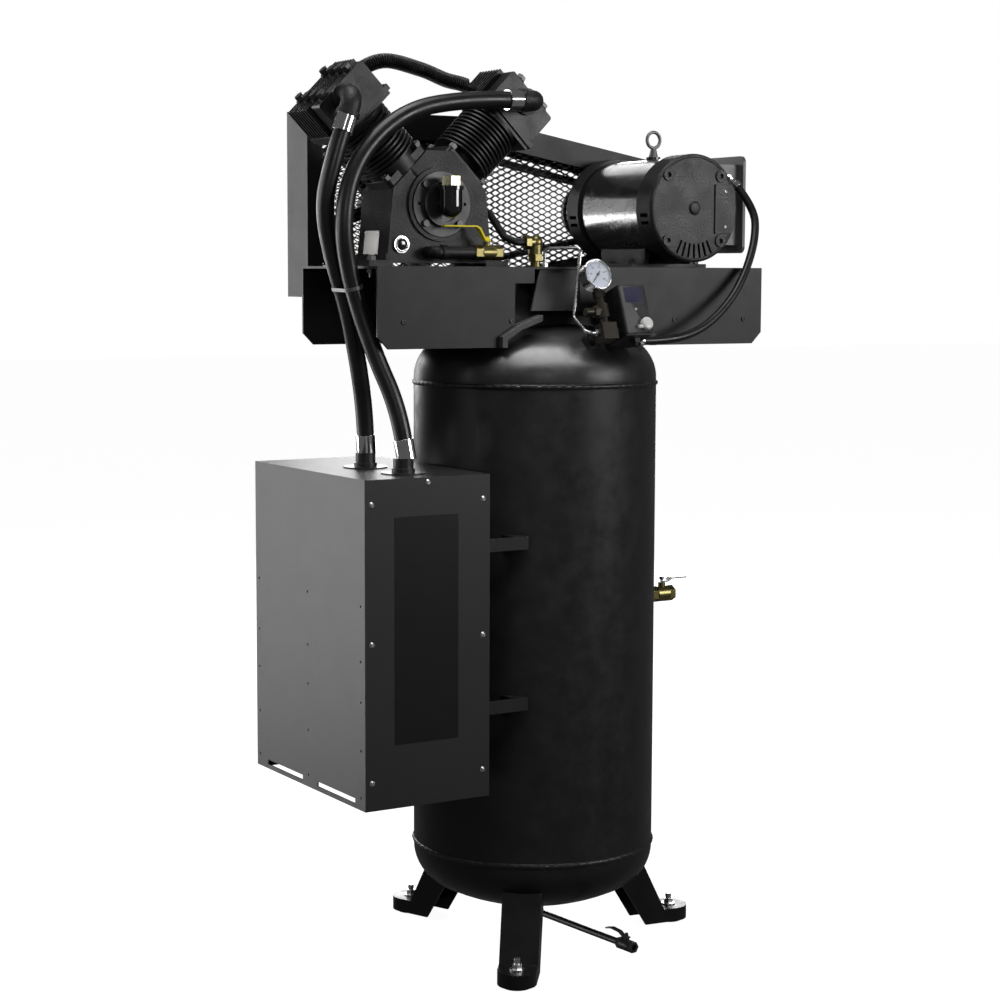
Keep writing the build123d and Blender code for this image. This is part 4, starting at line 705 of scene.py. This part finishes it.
for i in range(NUMBERS + 1):
    a = math.radians(ZERO_DEG - SWEEP_DEG * i / NUMBERS)
    text = bpy.data.curves.new("gauge_number_%d" % i, "FONT")
    text.body = str(i * NUMBER_STEP)
    text.size = 5.0 * MM
    text.align_x = "CENTER"
    text.align_y = "CENTER"
    number = link(bpy.data.objects.new("gauge_number_%d" % i, text))
    text.materials.append(MATS["decal_dark"])
    spot = Vector((NUMBER_R * math.cos(a), NUMBER_R * math.sin(a), 0.35)) * MM
    number.matrix_world = dial_place @ Matrix.Translation(spot)
    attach(number, "compressor")
bm = bmesh.new()
lathe(bm, dial_place, [(29.0, 3.0), (24.0, 3.5), (14.0, 3.9), (0.01, 4.05)], 64)
piece("gauge_lens", bm, "lens")
bm = bmesh.new()
lathe(bm, dial_place, [(29.1, 2.2), (29.1, 4.2), (30.2, 4.9), (31.6, 4.4), (32.0, 2.4), (31.9, -1.0)], 96)
piece("gauge_bezel", bm, "chrome")

# ------------------------------------------------------------------ pressure switch face
face_place = frame_at(on_switch(33, 0, 53), (1, 0, 0), TILT_FRONT)
bm = bmesh.new()
prism(bm, face_place, [(x, y + 30) for x, y in rounded(42, 32, 2)], 0.02, 0.3)
piece("switch_label", bm, "label_navy", smooth=False)


def pan_screw(bm, place, radius, height, slot_w=0.9):
    lathe(bm, place, [(radius, 0.0), (radius, height * 0.35), (radius * 0.82, height * 0.8),
                      (radius * 0.45, height), (radius * 0.42, height * 0.62), (0.01, height * 0.6)], 20)
    for turn in (0, 90):
        c, s = math.cos(math.radians(turn)), math.sin(math.radians(turn))
        for sign in (-1, 1):
            quad = [(0.1, -slot_w / 2), (radius * 0.5, -slot_w / 2),
                    (radius * 0.5, slot_w / 2), (0.1, slot_w / 2)]
            prism(bm, place, [(sign * (x * c - y * s), sign * (x * s + y * c)) for x, y in quad],
                  height * 0.60, height * 0.66)


bm = bmesh.new()
pan_screw(bm, face_place, 2.9, 1.8)
piece("switch_screw", bm, "zinc")
bm = bmesh.new()
prism(bm, face_place, rounded(62.0, 102.0, 4), -3.9, 0.0)
bevel(piece("switch_lid", bm, "switch_lid", smooth=False), 0.0012, 3)
knob_place = frame_at(on_switch(49, -9, 21), (1, 0, 0), TILT_FRONT)
bm = bmesh.new()
lathe(bm, knob_place, [(12.6, -7.4), (12.8, -2.0), (12.2, 0.4), (10.4, 1.5), (4.0, 1.9), (0.01, 1.9)], 40)
piece("knob_cap", bm, "white_plastic", body="knob")

# ------------------------------------------------------------------ screws on deck flange and motor plate
bm = bmesh.new()
for x in (-403, -158, 240, 420):
    pan_screw(bm, frame_at((x, -163, 1325), (1, 0, 0), (0, -1, 0)), 5.2, 3.0, 1.4)
piece("deck_screws", bm, "dark_steel")
bm = bmesh.new()
for z in (-38, 36):
    pan_screw(bm, frame_at((MOTOR[0] + 78, -175, MOTOR[2] + z), (1, 0, 0), (0, -1, 0)), 3.4, 2.0, 1.0)
piece("motor_plate_screws", bm, "zinc")

# ------------------------------------------------------------------ rim and plain boss on the front end bell
bell_place = frame_at((MOTOR[0], -172, MOTOR[2]), (1, 0, 0), (0, -1, 0))
bm = bmesh.new()
lathe(bm, bell_place, [(108.0, -1.0), (108.4, 0.6), (106.0, 1.0), (103.5, 0.4), (103.0, -0.6)], 120)
lathe(bm, bell_place, [(13.5, -0.5), (12.5, 1.8), (9.0, 2.6), (0.01, 2.8)], 40)
piece("bell_rim", bm, "bell_paint")

# ------------------------------------------------------------------ lights, floor and backdrop
def area(name, at, target, size, power):
    data = bpy.data.lights.new(name, "AREA")
    data.shape = "RECTANGLE"
    data.size = size[0]
    data.size_y = size[1]
    data.energy = power
    obj = link(bpy.data.objects.new(name, data))
    obj.location = at
    obj.rotation_euler = (Vector(target) - Vector(at)).to_track_quat("-Z", "Y").to_euler()
    return obj


def only_on(lamp, names, reach):
    """Lets a lamp reach just these pieces, or with EXCLUDE everything but them."""
    group = bpy.data.collections.new(lamp.name + "_reach")
    for name in names:
        group.objects.link(bpy.data.objects[name])
    for member in group.collection_objects:
        member.light_linking.link_state = reach
    lamp.light_linking.receiver_collection = group


TANK = ["tank_shell", "tank_legs", "seam_welds", "deck_saddle", "foot_pads"]
MOTOR_SHELL = ["motor_shell"]
# name, place, what it points at, width and height, watts, the pieces it is linked to and how
LAMPS = [
    ("back_left", (-3.7, 4.3, 1.4), (-0.4, 0, 0.9), (2.6, 4.4), 190, TANK + ["crankcase"], "EXCLUDE"),
    ("tank_rim", (-4.8, 0.2, 2.4), (0, 0, 1.0), (1.2, 2.6), 18, None, None),
    ("top", (-0.4, -0.2, 4.8), (0, 0, 1.0), (2.6, 2.6), 90, None, None),
    ("dome_top", (-0.2, -1.0, 3.6), (0, -0.2, 1.25), (3.2, 2.4), 340, ["tank_shell", "deck_saddle"],
     "INCLUDE"),
    ("front_right", (3.0, -4.1, 2.3), (0, 0, 1.45), (2.2, 1.5), 115, None, None),
    ("front", (-2.4, -6.0, 3.0), (0, 0, 1.3), (2.0, 1.4), 32, None, None),
    ("motor_band", (-2.0, 3.3, 0.75), (0.28, 0, 1.55), (2.2, 0.8), 140, MOTOR_SHELL, "INCLUDE"),
    ("motor_sky", (1.1, 3.3, 3.5), (0.28, 0, 1.55), (1.6, 1.0), 13, MOTOR_SHELL, "INCLUDE"),
    ("hose_rim", (-4.4, 1.3, 1.7), (-0.4, 0, 1.4), (0.5, 2.4), 45, ["hose_right", "hose_left", "conduit"],
     "INCLUDE"),
    ("back_fill", (3.2, 5.1, 1.9), (0, 0, 1.1), (2.4, 3.0), 150, ["guard_frame"], "EXCLUDE"),
    ("side_fill", (-0.1, 5.9, 2.2), (0, 0, 1.1), (1.6, 3.0), 70, None, None),
]
for name, at, target, size, power, names, reach in LAMPS:
    lamp = area(name, at, target, size, power)
    if name.endswith("_fill"):
        lamp.visible_camera = False
    if names:
        only_on(lamp, names, reach)

AMBIENT = 0.10
BACKDROP = 1.0
world = bpy.data.worlds.new("studio")
world.use_nodes = True
tree = world.node_tree
background = tree.nodes["Background"]
seen = tree.nodes.new("ShaderNodeLightPath")
blend = tree.nodes.new("ShaderNodeMix")
blend.data_type = "FLOAT"
blend.inputs[2].default_value = AMBIENT
blend.inputs[3].default_value = BACKDROP
tree.links.new(seen.outputs["Is Camera Ray"], blend.inputs[0])
tree.links.new(blend.outputs[0], background.inputs["Strength"])
background.inputs["Color"].default_value = (1, 1, 1, 1)
scene.world = world

floor_mesh = bpy.data.meshes.new("floor")
floor_bm = bmesh.new()
bmesh.ops.create_grid(floor_bm, x_segments=4, y_segments=4, size=30.0)
floor_bm.to_mesh(floor_mesh)
floor_bm.free()
floor = link(bpy.data.objects.new("floor", floor_mesh))
n = Nodes("floor_paper")
n.bsdf.inputs["Roughness"].default_value = 0.9
n.bsdf.inputs["Specular IOR Level"].default_value = 0.1
n.wire(n.mix(n.remap(n.noise(3.0, 3.0), 0.3, 0.7, 0.0, 1.0), (0.20, 0.20, 0.20, 1), (0.22, 0.22, 0.22, 1)),
       n.bsdf.inputs["Base Color"])
n.bsdf.inputs["Emission Color"].default_value = (1, 1, 1, 1)
n.bsdf.inputs["Emission Strength"].default_value = 0.96
floor_mesh.materials.append(n.mat)
floor.visible_glossy = False
floor.visible_diffuse = False
floor.visible_shadow = False
scene.view_settings.view_transform = "Standard"
